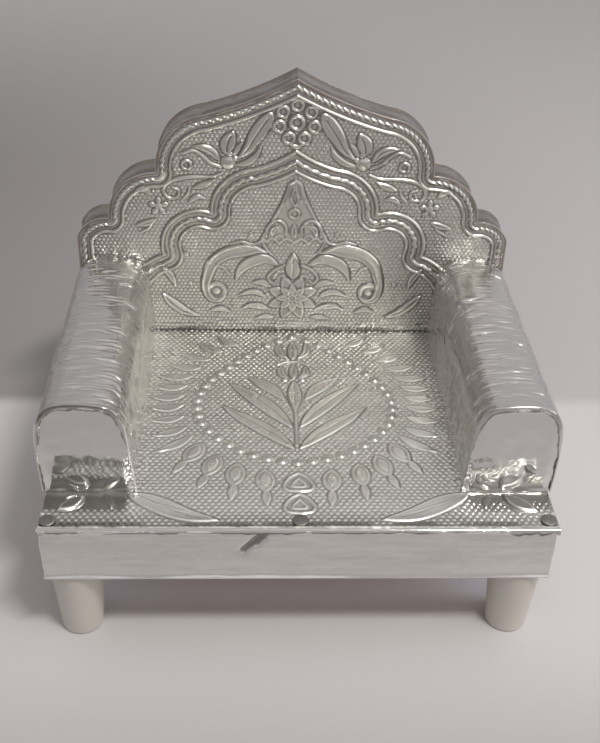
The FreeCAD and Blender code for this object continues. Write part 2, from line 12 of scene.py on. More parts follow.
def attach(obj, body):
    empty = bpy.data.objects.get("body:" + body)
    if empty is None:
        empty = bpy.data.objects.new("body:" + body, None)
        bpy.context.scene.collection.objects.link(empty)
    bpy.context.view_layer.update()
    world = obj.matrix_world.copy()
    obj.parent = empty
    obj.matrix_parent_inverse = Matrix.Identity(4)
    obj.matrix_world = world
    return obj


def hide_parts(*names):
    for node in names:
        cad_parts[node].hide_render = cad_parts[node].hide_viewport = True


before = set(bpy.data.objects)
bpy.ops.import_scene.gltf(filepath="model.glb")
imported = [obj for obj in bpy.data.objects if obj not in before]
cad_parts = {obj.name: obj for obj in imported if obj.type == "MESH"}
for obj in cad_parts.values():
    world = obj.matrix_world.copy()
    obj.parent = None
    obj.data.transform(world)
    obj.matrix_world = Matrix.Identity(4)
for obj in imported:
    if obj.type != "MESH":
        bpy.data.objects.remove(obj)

log = logging.getLogger("shrine_throne")

Spot = tuple[float, float]
Line = tuple[float, float, float]
Socket = bpy.types.NodeSocket
MM = 0.001
ALL_BODIES = "root"

# Places in the frame, in millimetres
HALF_WIDE = 75.0
SHEET = 0.3
FRONT_Y = -59.55
BACK_Y = 47.45
REAR_Y = 59.05
UNDER_Z = 26.0
BOARD_TOP_Z = 45.3
SEAT_Z = 45.6
FRONT_NAILS_X = (-72.3, 0.0, 72.3)
NAIL_INSET = 4.0
ARM_INNER_X = 48.0
QUARTER = math.pi / 2

# Cells on each side of the table that the smooth noise is drawn from
NOISE_CELLS = 64

# Outlines as shares: each point, then the point that the arc from it passes through
BACK_SHARES = [((1.0, 0.396), (0.965, 0.442)), ((0.849, 0.475), (0.800, 0.590)),
               ((0.624, 0.655), (0.571, 0.795)), ((0.413, 0.867), (0.200, 0.924)), ((0.0, 1.0), None)]
ARCH_SHARES = [((0.790, 0.150), (0.740, 0.330)), ((0.600, 0.446), (0.545, 0.645)),
               ((0.378, 0.675), (0.328, 0.829)), ((0.193, 0.903), (0.092, 0.942)), ((0.0, 1.0), None)]
ARM_SHARES = [((0, 0), (-0.016, 0.270)), ((-0.0215, 0.540), (-0.008, 0.720)),
              ((0.052, 0.866), (0.138, 0.949)), ((0.238, 0.989), (0.478, 1.0)),
              ((0.715, 0.976), (0.823, 0.924)), ((0.880, 0.842), (0.915, 0.760)), ((0.932, 0.650), None),
              ((1, 0), None)]


class Slot(str, Enum):
    """The record's material slots."""

    WOOD = "board_wood"
    EMBOSSED = "embossed_sheet"
    PLAIN = "plain_sheet"
    CRINKLED = "crinkled_sheet"
    PLASTIC = "leg_plastic"
    STEEL = "fixing_steel"


class Side(Enum):
    """Which side of the throne a piece is on, seen from the front."""

    LEFT = -1
    RIGHT = 1


# Small helpers for places and paths

def smooth(share: np.ndarray) -> np.ndarray:
    """Ease a value from 0 to 1."""
    held = np.clip(share, 0.0, 1.0)
    return held * held * (3.0 - 2.0 * held)


def round_off(share: np.ndarray) -> np.ndarray:
    """A soft hump: 1 in its middle, and 0 from one share away on."""
    return 0.5 + 0.5 * np.cos(np.pi * np.clip(np.abs(share), 0.0, 1.0))


def ripple(u: np.ndarray, v: np.ndarray, seed: int) -> np.ndarray:
    """Smooth seeded noise.

    Args:
        u: first coordinate, in noise cells.
        v: second coordinate, in noise cells.
        seed: the draw, which no other noise shares.

    Returns:
        Values from -1 to 1 in the shape of u and v together.
    """
    table = np.random.default_rng(seed).uniform(-1.0, 1.0, (NOISE_CELLS, NOISE_CELLS))
    low_u, low_v = np.floor(u).astype(int), np.floor(v).astype(int)
    part_u, part_v = smooth(u - low_u), smooth(v - low_v)

    def corner(step_u: int, step_v: int) -> np.ndarray:
        """Value at one corner of the noise cell."""
        return table[(low_u + step_u) % NOISE_CELLS, (low_v + step_v) % NOISE_CELLS]

    near = corner(0, 0) * (1 - part_u) + corner(1, 0) * part_u
    far = corner(0, 1) * (1 - part_u) + corner(1, 1) * part_u
    return near * (1 - part_v) + far * part_v


def crumple(u: np.ndarray, v: np.ndarray, seed: int, layers: int = 3) -> np.ndarray:
    """Foil crumple: sharp creases between flat facets, from 0 to about 1.

    Args:
        u: first coordinate, in facets.
        v: second coordinate, in facets.
        seed: the draw.
        layers: how many finer layers are added.

    Returns:
        Height of the creases.
    """
    total = np.zeros(np.broadcast(u, v).shape)
    for layer in range(layers):
        scale = 2.0 ** layer
        total = total + (1.0 - 2.0 * np.abs(ripple(u * scale, v * scale, seed + layer))) / scale
    return total / 2.0 + 0.5


def arc_spots(first: Spot, through: Spot, last: Spot, step: float = 0.5) -> np.ndarray:
    """Place points along the arc through three points.

    Args:
        first: where the arc starts.
        through: a point that it passes.
        last: where it ends.
        step: spacing of the points.

    Returns:
        The points, without the last one.
    """
    (ax, ay), (bx, by), (cx, cy) = first, through, last
    turn = 2.0 * (ax * (by - cy) + bx * (cy - ay) + cx * (ay - by))
    a2, b2, c2 = ax * ax + ay * ay, bx * bx + by * by, cx * cx + cy * cy
    mid_x = (a2 * (by - cy) + b2 * (cy - ay) + c2 * (ay - by)) / turn
    mid_y = (a2 * (cx - bx) + b2 * (ax - cx) + c2 * (bx - ax)) / turn
    radius = math.hypot(ax - mid_x, ay - mid_y)
    start = math.atan2(ay - mid_y, ax - mid_x)
    swing = math.atan2(cy - mid_y, cx - mid_x) - start
    passing = (math.atan2(by - mid_y, bx - mid_x) - start) % math.tau
    swing %= math.tau
    if passing > swing:
        swing -= math.tau
    angles = start + swing * np.arange(0.0, 1.0, step / max(radius * abs(swing), step))
    return np.column_stack([mid_x + radius * np.cos(angles), mid_y + radius * np.sin(angles)])


def line_spots(first: Spot, last: Spot, step: float = 0.5) -> np.ndarray:
    """Place points along a straight line.

    Args:
        first: where the line starts.
        last: where it ends.
        step: spacing of the points.

    Returns:
        The points, without the last one.
    """
    long = math.dist(first, last)
    shares = np.arange(0.0, 1.0, step / max(long, step))[:, None]
    return np.array(first) * (1 - shares) + np.array(last) * shares


def curve_spots(points: Sequence[Spot], step: float = 0.6) -> np.ndarray:
    """Draw a smooth curve through given points.

    Args:
        points: the points.
        step: spacing along the curve.

    Returns:
        The curve's points.
    """
    knots = np.array(points, float)
    knots = np.vstack([2 * knots[0] - knots[1], knots, 2 * knots[-1] - knots[-2]])
    runs = []
    for place in range(1, len(knots) - 2):
        before, first, last, after = knots[place - 1:place + 3]
        count = max(2, int(math.dist(first, last) / step) + 1)
        t = np.linspace(0.0, 1.0, count, endpoint=False)[:, None]
        runs.append(0.5 * (2 * first + (last - before) * t
                           + (2 * before - 5 * first + 4 * last - after) * t ** 2
                           + (3 * first - before - 3 * last + after) * t ** 3))
    return np.vstack([*runs, knots[-2:-1]])


def share_spots(shares: Sequence[tuple[Spot, Spot | None]], spot: Callable[[Spot], Spot],
                step: float) -> np.ndarray:
    """Place points along the arcs and straight lines of an outline.

    Args:
        shares: each corner, then the point that the arc from it passes, or None for a line.
        spot: turns a share into a place.
        step: spacing of the points.

    Returns:
        The points, with the last one.
    """
    runs = []
    for (point, through), (following, _) in zip(shares, shares[1:]):
        if through is None:
            runs.append(line_spots(spot(point), spot(following), step))
        else:
            runs.append(arc_spots(spot(point), spot(through), spot(following), step))
    return np.vstack([*runs, [spot(shares[-1][0])]])


def arch_spots(shares: Sequence[tuple[Spot, Spot | None]], high: float, foot: float,
               step: float = 0.5) -> np.ndarray:
    """A symmetrical arch from its shares, from the right foot over the top to the left foot.

    Args:
        shares: the right half, from the side inwards, as shares of half the width and height.
        high: height of the arch above the seat.
        foot: height of its foot above the seat.
        step: spacing of the points.

    Returns:
        Points (x, height above the seat).
    """
    def spot(share: Spot) -> Spot:
        """One share as a place."""
        return share[0] * HALF_WIDE, share[1] * high

    first = spot(shares[0][0])
    half = np.vstack([line_spots((first[0], foot), first, step), share_spots(shares, spot, step)])
    return np.vstack([half, half[-2::-1] * (-1, 1)])


def even_spots(path: np.ndarray, step: float) -> np.ndarray:
    """Space a path's points evenly.

    Args:
        path: the path.
        step: the new spacing.

    Returns:
        The same path with the new points.
    """
    run = np.concatenate([[0.0], np.cumsum(np.hypot(*np.diff(path, axis=0).T))])
    marks = np.linspace(0.0, run[-1], int(run[-1] / step) + 1)
    return np.column_stack([np.interp(marks, run, path[:, 0]), np.interp(marks, run, path[:, 1])])


def mirrored(path: np.ndarray, both: bool = True) -> list[np.ndarray]:
    """A path, and where both sides are wanted its mirror image about the middle."""
    return [path, path * (-1, 1)][:2 if both else 1]


def span(places: np.ndarray, ends: Iterable[float], reach: float) -> slice:
    """The part of a rising row of places that lies between some ends, or within reach of them."""
    return slice(*np.searchsorted(places, (min(ends) - reach, max(ends) + reach)))


def quarter(radius: float, count: int = 6) -> list[Spot]:
    """A quarter turn, as how far each of its points has come along both axes."""
    return [(radius * math.sin(a), radius - radius * math.cos(a)) for a in np.linspace(0, QUARTER, count)]


def inside(path: np.ndarray, across: np.ndarray, up: np.ndarray) -> np.ndarray:
    """Find the grid points that lie inside a closed path.

    Args:
        path: the path's points.
        across: first coordinate of the grid points.
        up: their second coordinate.

    Returns:
        True for each point inside.
    """
    found = np.zeros(np.broadcast(across, up).shape, bool)
    for (ax, ay), (bx, by) in zip(path, np.roll(path, -1, axis=0)):
        if ay == by:
            continue
        crosses = (ay > up) != (by > up)
        found ^= crosses & (across < (bx - ax) * (up - ay) / (by - ay) + ax)
    return found


def corners(cells: np.ndarray) -> list[np.ndarray]:
    """The values at the four corners of each cell of a grid, in their order round the cell."""
    return [cells[:-1, :-1], cells[:-1, 1:], cells[1:, 1:], cells[1:, :-1]]


def swept(path: np.ndarray, section: Sequence[Spot], bulge: np.ndarray | float = 0.0) -> np.ndarray:
    """Carry a section along a path.

    Args:
        path: points in a plane, with the outside on its right-hand side.
        section: (out, deep) pairs: how far outside the path, and how deep across the plane.
        bulge: more outward shift, as points of the path by points of the section.

    Returns:
        Places (along the plane's two axes, then deep), as path by section by 3.
    """
    ahead = np.gradient(path, axis=0)
    ahead /= np.hypot(*ahead.T)[:, None]
    outward = np.column_stack([ahead[:, 1], -ahead[:, 0]])
    shape = np.array(section, float)
    out = shape[None, :, 0] + bulge * np.ones((len(path), len(shape)))
    flat = path[:, None, :] + outward[:, None, :] * out[..., None]
    deep = np.broadcast_to(shape[None, :, 1], out.shape)
    return np.dstack([flat, deep])


# Meshes

def linked(name: str, data: bpy.types.ID) -> bpy.types.Object:
    """Make an object of some data and link it to the scene.

    Args:
        name: the object's name.
        data: its mesh, camera or light.

    Returns:
        The object.
    """
    made = bpy.data.objects.new(name, data)
    bpy.context.scene.collection.objects.link(made)
    return made


def grid_piece(name: str, spots: np.ndarray, cells: np.ndarray | None = None,
               depth: np.ndarray | None = None, flip: bool = False,
               ring: bool = False) -> bpy.types.Object:
    """Make a smooth mesh piece from a grid of places.

    Args:
        name: the piece's name.
        spots: places in millimetres, as rows by columns by 3.
        cells: which cells have a face, or None for all of them.
        depth: a value for each place that the finish darkens by as painted shade: how deep it lies, or more
            where shade is painted.
        flip: turn the faces over.
        ring: join the last row to the first.

    Returns:
        The new object, linked to the scene.
    """
    rows, cols = spots.shape[:2]
    index = np.arange(rows * cols).reshape(rows, cols)
    if ring:
        index = np.vstack([index, index[:1]])
    quads = np.stack(corners(index), axis=-1)
    quads = quads.reshape(-1, 4) if cells is None else quads[cells]
    if flip:
        quads = quads[:, ::-1]
    used, quads = np.unique(quads, return_inverse=True)
    quads = quads.reshape(-1, 4)
    mesh = bpy.data.meshes.new(name)
    mesh.vertices.add(len(used))
    mesh.vertices.foreach_set("co", (spots.reshape(-1, 3)[used] * MM).astype(np.float32).ravel())
    mesh.loops.add(quads.size)
    mesh.loops.foreach_set("vertex_index", quads.astype(np.int32).ravel())
    mesh.polygons.add(len(quads))
    mesh.polygons.foreach_set("loop_start", np.arange(0, quads.size, 4, dtype=np.int32))
    mesh.polygons.foreach_set("use_smooth", np.ones(len(quads), bool))
    mesh.update(calc_edges=True)
    mesh.validate()
    if depth is not None:
        marks = mesh.attributes.new("recess", "FLOAT", "POINT")
        marks.data.foreach_set("value", depth.ravel()[used].astype(np.float32))
    return linked(name, mesh)


def turned_piece(name: str, section: Sequence[Spot], places: Iterable[tuple[float, float, float]],
                 flats: int, turn: Matrix = Matrix.Identity(3)) -> bpy.types.Object:
    """Turn a section about its axis, and set copies of it in one piece.

    Args:
        name: the piece's name.
        section: (radius, height) pairs from the axis at the bottom, round the outside, to the top.
        places: where each copy stands, in millimetres.
        flats: how many steps go round.
        turn: the rotation of each copy.

    Returns:
        The new object.
    """
    angles = np.linspace(0.0, math.tau, flats, endpoint=False)
    copies = []
    for x, y, z in places:
        shape = np.array([[(r * math.cos(a), r * math.sin(a), h) for r, h in section] for a in angles])
        copies.append(shape @ np.array(turn).T + (x, y, z))
    pieces = [grid_piece(f"{name}_{place}", spots, ring=True) for place, spots in enumerate(copies)]
    whole = pieces[0]
    whole.name = name
    if len(pieces) > 1:
        with bpy.context.temp_override(active_object=whole, selected_editable_objects=pieces):
            bpy.ops.object.join()
    whole.data.name = name
    for polygon in whole.data.polygons:
        polygon.use_smooth = True
    return whole


# Embossing

def hollows(height: np.ndarray, gain: float) -> np.ndarray:
    """Tell how deep each grid point lies below its neighbourhood.

    Args:
        height: the grid's heights.
        gain: how strongly a hollow counts.

    Returns:
        Values from 0 to 1, with even ground at a half.
    """
    mean = height
    for _ in range(4):
        padded = np.pad(mean, 1, mode="edge")
        mean = (padded[:-2, 1:-1] + padded[2:, 1:-1] + padded[1:-1, :-2] + padded[1:-1, 2:]) / 4
    return np.clip(0.5 + (mean - height) * gain, 0.0, 1.0)


@dataclass
class Trace:
    """Grid points near a path: where they are, and how they lie to it, in millimetres."""

    window: tuple[slice, slice]
    gap: np.ndarray
    run: np.ndarray
    long: float

    @property
    def share(self) -> np.ndarray:
        """How far along the path each point lies, from 0 to 1."""
        return np.clip(self.run / self.long, 0.0, 1.0)


class Relief:
    """The embossing of a thin sheet, as heights in millimetres on an even grid."""

    EDGE = 0.65
    DOT_JOG = 0.06
    DOT_PATCHY = 0.18

    def __init__(self, across: Spot, up: Spot, cell: float) -> None:
        """Lay out the grid.

        Args:
            across: lowest and highest first coordinate.
            up: lowest and highest second coordinate.
            cell: spacing of the grid.
        """
        self.x = np.linspace(*across, int(round((across[1] - across[0]) / cell)) + 1)
        self.z = np.linspace(*up, int(round((up[1] - up[0]) / cell)) + 1)
        self.height = np.zeros((len(self.z), len(self.x)))
        self.clear = np.zeros(self.height.shape)

    def spots(self, window: tuple[slice, slice]) -> tuple[np.ndarray, np.ndarray]:
        """The coordinates of a window's points, as a row and a column."""
        return self.x[window[1]][None, :], self.z[window[0]][:, None]

    def trace(self, path: np.ndarray, reach: float) -> Trace:
        """Measure the grid points that lie near a path.

        Args:
            path: the path's points.
            reach: how far from it points are measured.

        Returns:
            The measures in the window round the path.
        """
        window = (span(self.z, path[:, 1], reach), span(self.x, path[:, 0], reach))
        xs, zs = self.x[window[1]], self.z[window[0]]
        gap = np.full((len(zs), len(xs)), np.inf)
        run = np.zeros_like(gap)
        start = 0.0
        for first, last in zip(path[:-1], path[1:]):
            step = last - first
            long = max(float(np.hypot(*step)), 1e-9)
            rows = span(zs, (first[1], last[1]), reach)
            cols = span(xs, (first[0], last[0]), reach)
            from_x, from_z = xs[cols][None, :] - first[0], zs[rows][:, None] - first[1]
            share = np.clip((from_x * step[0] + from_z * step[1]) / long ** 2, 0.0, 1.0)
            far = np.hypot(from_x - share * step[0], from_z - share * step[1])
            better = far < gap[rows, cols]
            for held, found in ((gap, far), (run, start + share * long)):
                held[rows, cols] = np.where(better, found, held[rows, cols])
            start += long
        return Trace(window, gap, run, start)

    def cover(self, window: tuple[slice, slice], cover: np.ndarray) -> None:
        """Keep dots off the covered part of a window."""
        self.clear[window] = np.maximum(self.clear[window], cover)

    def lift(self, window: tuple[slice, slice], height: np.ndarray, cover: np.ndarray) -> None:
        """Raise a window of the sheet, and keep dots off the covered part."""
        self.height[window] = np.maximum(self.height[window], height)
        self.cover(window, cover)

    def ridge(self, points: Sequence[Spot], wide: float, high: float, *, taper: bool = False,
              both: bool = True) -> None:
        """Raise a smooth half-round line.

        Args:
            points: points on the line.
            wide: its width.
            high: its height.
            taper: thin it towards its ends.
            both: raise it on the other side of the middle as well.
        """
        for path in mirrored(curve_spots(points), both):
            found = self.trace(path, wide)
            half = wide / 2 * np.ones_like(found.run)
            if taper:
                half = half * (0.35 + 0.65 * np.sin(np.pi * found.share) ** 0.7)
            profile = round_off(found.gap / (half + 0.15))
            self.lift(found.window, high * profile, smooth((half + 0.45 - found.gap) / 0.3))

    def leaf(self, points: Sequence[Spot], wide: float, high: float, *, fat: float = 0.8, vein: float = 0.0,
             rim: float = 0.08, both: bool = True, edge_wide: float = EDGE) -> None:
        """Raise a pointed leaf with a crisp rim.

        Args:
            points: the leaf's middle line, from its foot to its tip.
            wide: greatest width.
            high: height of its face.
            fat: under 1 the leaf is widest nearer to its foot, above 1 nearer to its tip.
            vein: depth of the groove along its middle.
            rim: how much higher the rim stands.
            both: raise it on the other side of the middle as well.
            edge_wide: width of the slope up to its face.
        """
        for path in mirrored(curve_spots(points), both):
            found = self.trace(path, wide)
            share = found.share
            edge = wide / 2 * np.sin(np.pi * share ** fat) ** 0.75 - found.gap
            face = high * smooth(edge / edge_wide)
            face = face + rim * np.exp(-((edge - edge_wide) / 0.3) ** 2)
            face = face - vein * np.exp(-(found.gap / 0.3) ** 2) * smooth((share - 0.06) * 12) \
                * smooth((0.86 - share) * 10) * smooth(edge / 0.6)
            self.lift(found.window, face, smooth((edge + 0.5) / 0.3))

    def plateau(self, outline: np.ndarray, high: float, rim: float) -> None:
        """Raise a flat form with a thin rim.

        Args:
            outline: its closed outline, without the first point again at the end.
            high: height of its face.
            rim: how much higher the rim stands.
        """
        found = self.trace(np.vstack([outline, outline[:1]]), 12.0)
        within = inside(outline, *self.spots(found.window))
        edge = np.clip(np.where(within, found.gap, -found.gap), -3.0, 6.0)
        face = high * smooth((edge + 0.3) / 0.7) + rim * round_off((edge - 0.6) / 0.5)
        self.lift(found.window, face, smooth((edge + 0.6) / 0.3))

    def disc(self, centre: Spot, radius: float, high: float, *, dished: float = 0.0,
             both: bool = True) -> None:
        """Raise a round bead, or a dished one with a raised rim.

        Args:
            centre: its place.
            radius: its radius.
            high: its height.
            dished: depth of the hollow in its middle.
            both: raise it on the other side of the middle as well.
        """
        sides = (1, -1) if both and abs(centre[0]) > 0.01 else (1,)
        for side in sides:
            x, z = centre[0] * side, centre[1]
            window = (span(self.z, (z,), radius + 1.0), span(self.x, (x,), radius + 1.0))
            across, up = self.spots(window)
            gap = np.hypot(across - x, up - z)
            share = gap / radius
            dome = high * np.clip(1 - share ** 2, 0.0, 1.0) ** 0.6
            if dished:
                dome = high * smooth((1 - share) * radius / self.EDGE) - dished * smooth((0.72 - share) * 3)
            self.lift(window, dome, smooth((radius + 0.45 - gap) / 0.3))

    def flower(self, centre: Spot, petals: int, reach: float, wide: float, high: float, *, eye: float,
               turn: float = 0.0) -> None:
        """Raise a flower of pointed petals round an eye, on both sides of the middle.

        Args:
            centre: its place.
            petals: number of petals.
            reach: length from the centre to a petal's tip.
            wide: width of a petal.
            high: height of a petal.
            eye: radius of the eye.
            turn: angle of the first petal, in degrees.
        """
        for petal in range(petals):
            angle = math.radians(turn + 360.0 * petal / petals)
            way = np.array([math.cos(angle), math.sin(angle)])
            foot, tip = np.array(centre) + way * eye * 0.6, np.array(centre) + way * reach
            self.leaf([foot, (foot + tip) / 2, tip], wide, high, fat=0.9)
        self.disc(centre, eye, high + 0.25, dished=0.3)
        self.disc(centre, eye * 0.45, high + 0.2)

    def dots(self, pitch: Spot, high: float | np.ndarray, seed: int) -> None:
        """Fill the bare ground with staggered dots.

        Args:
            pitch: spacing along a row, and between rows.
            high: height of a dot.
            seed: the draw for the dots' unevenness.
        """
        across, up = self.x[None, :], self.z[:, None]
        best = np.full(self.height.shape, np.inf)
        for step in (0, 1):
            line = np.floor(up / pitch[1]) + step
            shift = (line % 2) * 0.5
            col = np.round(across / pitch[0] - shift) + shift
            jog = self.DOT_JOG * ripple(col * 0.7, line * 0.7, seed)
            gap = np.hypot(0.9 * (across - (col + jog) * pitch[0]), 1.1 * (up - line * pitch[1]))
            best = np.minimum(best, gap)
        radius = 0.46 * min(math.hypot(pitch[0] / 2, pitch[1]), pitch[0])
        patchy = 1.0 + self.DOT_PATCHY * ripple(across / 14, up / 14, seed + 1)
        self.height += high * patchy * round_off(best / radius) * (1.0 - np.clip(self.clear, 0.0, 1.0))

    def depth(self, painted_shade: np.ndarray) -> np.ndarray:
        """How deep each point lies below its neighbourhood, from 0 to 1, and up to 2 where more shade is
        painted; the finish darkens by it as painted shade.
        """
        return hollows(self.height, 3.4) * (1.0 - painted_shade) + 2.0 * painted_shade


# Finishes

# Settings of a node that mixes two colours, one that multiplies, and one that eases a change at both ends
COLOURS = {"data_type": "RGBA"}
TIMES = {"operation": "MULTIPLY"}
EASED = {"interpolation_type": "SMOOTHSTEP"}


def linear(code: str) -> tuple[float, float, float, float]:
    """Turn an sRGB hex colour into linear light.

    Args:
        code: the colour, as # and six hex digits.

    Returns:
        Red, green, blue and full alpha.
    """
    parts = [int(code[place:place + 2], 16) / 255 for place in (1, 3, 5)]
    red, green, blue = [part / 12.92 if part <= 0.04045 else ((part + 0.055) / 1.055) ** 2.4
                        for part in parts]
    return red, green, blue, 1.0


def add_node(tree: bpy.types.NodeTree, kind: str, settings: dict[str, Any] | None = None,
             **sockets: Any) -> bpy.types.Node:
    """Add a node with its settings and links.

    Args:
        tree: the node tree.
        kind: the node's type.
        settings: fields of the node.
        **sockets: input sockets by name, with _ for a space, or by _ and their number, as values or as
            sockets to link from.

    Returns:
        The node.
    """
    node = tree.nodes.new(kind)
    for field, value in (settings or {}).items():
        setattr(node, field, value)
    for label, value in sockets.items():
        words = label.replace("_", " ")
        socket = node.inputs[int(label[1:])] if label[1:].isdigit() else node.inputs[words]
        if isinstance(value, bpy.types.NodeSocket):
            tree.links.new(value, socket)
        else:
            socket.default_value = value
    return node


def clean_tree(owner: bpy.types.Material | bpy.types.World) -> bpy.types.NodeTree:
    """Let a material or world use nodes, and start it with none.

    Args:
        owner: the material or world.

    Returns:
        Its empty node tree.
    """
    owner.use_nodes = True
    owner.node_tree.nodes.clear()
    return owner.node_tree


def grain_scale(size_mm: float) -> float:
    """Scale of a noise whose grains are a given size in millimetres."""
    return 1.0 / (size_mm * MM)


def shaded(name: str, tree_of: Callable[[bpy.types.NodeTree, Socket], dict[str, Any]]) -> bpy.types.Material:
    """Make a material.

    Args:
        name: its name.
        tree_of: adds the nodes, from the tree and the place on the object, and gives the shader's sockets.

    Returns:
        The material.
    """
    made = bpy.data.materials.new(name)
    tree = clean_tree(made)
    place = add_node(tree, "ShaderNodeTexCoord").outputs["Object"]
    shader = add_node(tree, "ShaderNodeBsdfPrincipled", **tree_of(tree, place))
    add_node(tree, "ShaderNodeOutputMaterial", Surface=shader.outputs["BSDF"])
    return made


@dataclass(frozen=True)
class SheetFinish:
    """Bare metal: a haze of two tones, soft wrinkles, fine grain, on some sheets a lacquer, and on some
    painted shade in the hollows, corners and folds.
    """

    name: str
    colour: str
    haze: str
    roughness: tuple[float, float]
    haze_mm: float
    wrinkle_mm: float
    wrinkle_deep_mm: float
    grain_mm: float = 0.5
    grain_deep_mm: float = 0.004
    # The next two colours are painted shade: the first greys the hollows, the second darkens corners, folds
    # and edges further
    recess: str = ""
    painted_shade: str = "#6B6863"
    lacquer: float = 0.0

    def nodes(self, tree: bpy.types.NodeTree, place: Socket) -> dict[str, Any]:
        """Add the nodes that colour and roughen the sheet.

        Args:
            tree: the node tree.
            place: the place on the object.

        Returns:
            The shader's sockets.
        """
        haze = add_node(tree, "ShaderNodeTexNoise", Vector=place, Scale=grain_scale(self.haze_mm),
                        Detail=4.0).outputs["Fac"]
        tone = add_node(tree, "ShaderNodeMix", COLOURS, Factor=haze, _6=linear(self.colour),
                        _7=linear(self.haze)).outputs[2]
        # Painted shade: the recess value that a piece carries darkens its hollows, then its corners, folds
        # and edges
        if self.recess:
            deep = add_node(tree, "ShaderNodeAttribute", {"attribute_name": "recess"}).outputs["Fac"]
            for low, high, share, colour in ((0.48, 0.88, 0.8, self.recess), (1.0, 2.0, 0.9, self.painted_shade)):
                sunk = add_node(tree, "ShaderNodeMapRange", Value=deep, From_Min=low, From_Max=high,
                                To_Min=0.0, To_Max=share).outputs["Result"]
                tone = add_node(tree, "ShaderNodeMix", COLOURS, Factor=sunk, _6=tone,
                                _7=linear(colour)).outputs[2]
        rough = add_node(tree, "ShaderNodeMapRange", Value=haze, From_Min=0.3, From_Max=0.7,
                         To_Min=self.roughness[0], To_Max=self.roughness[1]).outputs["Result"]
        wrinkle = add_node(tree, "ShaderNodeTexNoise", Vector=place, Scale=grain_scale(self.wrinkle_mm),
                           Detail=3.0).outputs["Fac"]
        bend = add_node(tree, "ShaderNodeBump", Height=wrinkle,
                        Distance=self.wrinkle_deep_mm * MM).outputs["Normal"]
        grain = add_node(tree, "ShaderNodeTexNoise", Vector=place, Scale=grain_scale(self.grain_mm),
                         Detail=2.0).outputs["Fac"]
        normal = add_node(tree, "ShaderNodeBump", Height=grain, Distance=self.grain_deep_mm * MM,
                          Normal=bend).outputs["Normal"]
        return {"Base_Color": tone, "Metallic": 1.0, "Roughness": rough, "Normal": normal,
                "Coat_Weight": self.lacquer, "Coat_Roughness": 0.07}


@dataclass(frozen=True)
class GrainFinish:
    """A finish without metal: plastic or wood, with a mottled colour and fine bump."""

    name: str
    colour: str
    mottle: str
    roughness: float
    mottle_mm: tuple[float, float, float]
    bump_mm: float
    bump_deep_mm: float
    light_through: float = 0.0

    def nodes(self, tree: bpy.types.NodeTree, place: Socket) -> dict[str, Any]:
        """Add the nodes that mottle the surface.

        Args:
            tree: the node tree.
            place: the place on the object.

        Returns:
            The shader's sockets.
        """
        scale = tuple(grain_scale(size) for size in self.mottle_mm)
        spread = add_node(tree, "ShaderNodeMapping", Vector=place, Scale=scale).outputs["Vector"]
        mottle = add_node(tree, "ShaderNodeTexNoise", Vector=spread, Scale=1.0, Detail=4.0).outputs["Fac"]
        tone = add_node(tree, "ShaderNodeMix", COLOURS, Factor=mottle, _6=linear(self.colour),
                        _7=linear(self.mottle)).outputs[2]
        grain = add_node(tree, "ShaderNodeTexNoise", Vector=place, Scale=grain_scale(self.bump_mm),
                         Detail=3.0).outputs["Fac"]
        normal = add_node(tree, "ShaderNodeBump", Height=grain,
                          Distance=self.bump_deep_mm * MM).outputs["Normal"]
        return {"Base_Color": tone, "Roughness": self.roughness, "Normal": normal,
                "Subsurface_Weight": self.light_through, "Subsurface_Radius": (1.0, 0.9, 0.8),
                "Subsurface_Scale": 3.0 * MM}


# Die-pressed sheet: softly bright, with painted shade greying the hollows, and small sharp glints from its
# lacquer
EMBOSSED = SheetFinish("aluminium_sheet_embossed", "#F7F6F2", "#EDECE7", (0.25, 0.33), 9.0, 7.0, 0.03,
                       grain_deep_mm=0.002, recess="#76726D", lacquer=1.0)
# The same sheet on the backrest, painted darker as shade: a shaded copy of the seat's finish, with deeper
# painted shade in its hollows
EMBOSSED_SHADED = SheetFinish("aluminium_sheet_embossed_shaded", "#CDCBC4", "#BFBCB5", (0.25, 0.33), 9.0, 7.0, 0.03,
                   grain_deep_mm=0.002, recess="#625D58", lacquer=1.0)
# The same sheet left plain: broad soft dents, so that reflections wander, and painted shade in the band's
# crease and under the seat's lip
PLAIN = SheetFinish("aluminium_sheet_plain", "#EAE9E6", "#DEDDD9", (0.20, 0.30), 14.0, 11.0, 0.08,
                    grain_deep_mm=0.002, recess="#8D8986")
# Polished ends of the arms: nearly a mirror, a little milky
MIRROR = SheetFinish("aluminium_sheet_polished", "#F3F2F0", "#E9E8E5", (0.06, 0.12), 12.0, 9.0, 0.05,
                     grain_deep_mm=0.0005)
# Sheet drawn round the arms by hand: fine cross wrinkles and brighter facets, with painted shade in its
# creases and along its hem
CRINKLED = SheetFinish("aluminium_sheet_hand_wrapped", "#DFDCDA", "#CFCBC8", (0.15, 0.26), 7.0, 3.0, 0.04,
                       grain_deep_mm=0.002, recess="#97918E", lacquer=1.0)
# Folded edge of the seat sheet: smooth and bright on top, with painted shade along its free edge
FOLDED = SheetFinish("aluminium_sheet_folded", "#E6E5E2", "#D8D6D2", (0.08, 0.16), 5.0, 4.0, 0.03,
                     grain_deep_mm=0.001, recess="#77736F")
# Sheet bent over the backrest's edge: dull, with its brown tone and darker front half painted shade, standing
# for the shadowed wall it reflects
EDGE = SheetFinish("aluminium_sheet_bent_edge", "#A59B95", "#867C75", (0.24, 0.36), 8.0, 4.0, 0.06,
                   recess="#655A54", lacquer=0.5)
# Nail heads of zinc-plated steel, dulled: flat grey with fine scratches
STEEL = SheetFinish("steel_zinc_plated_dull", "#9C9A97", "#7F7D7A", (0.38, 0.5), 1.5, 1.2, 0.02)
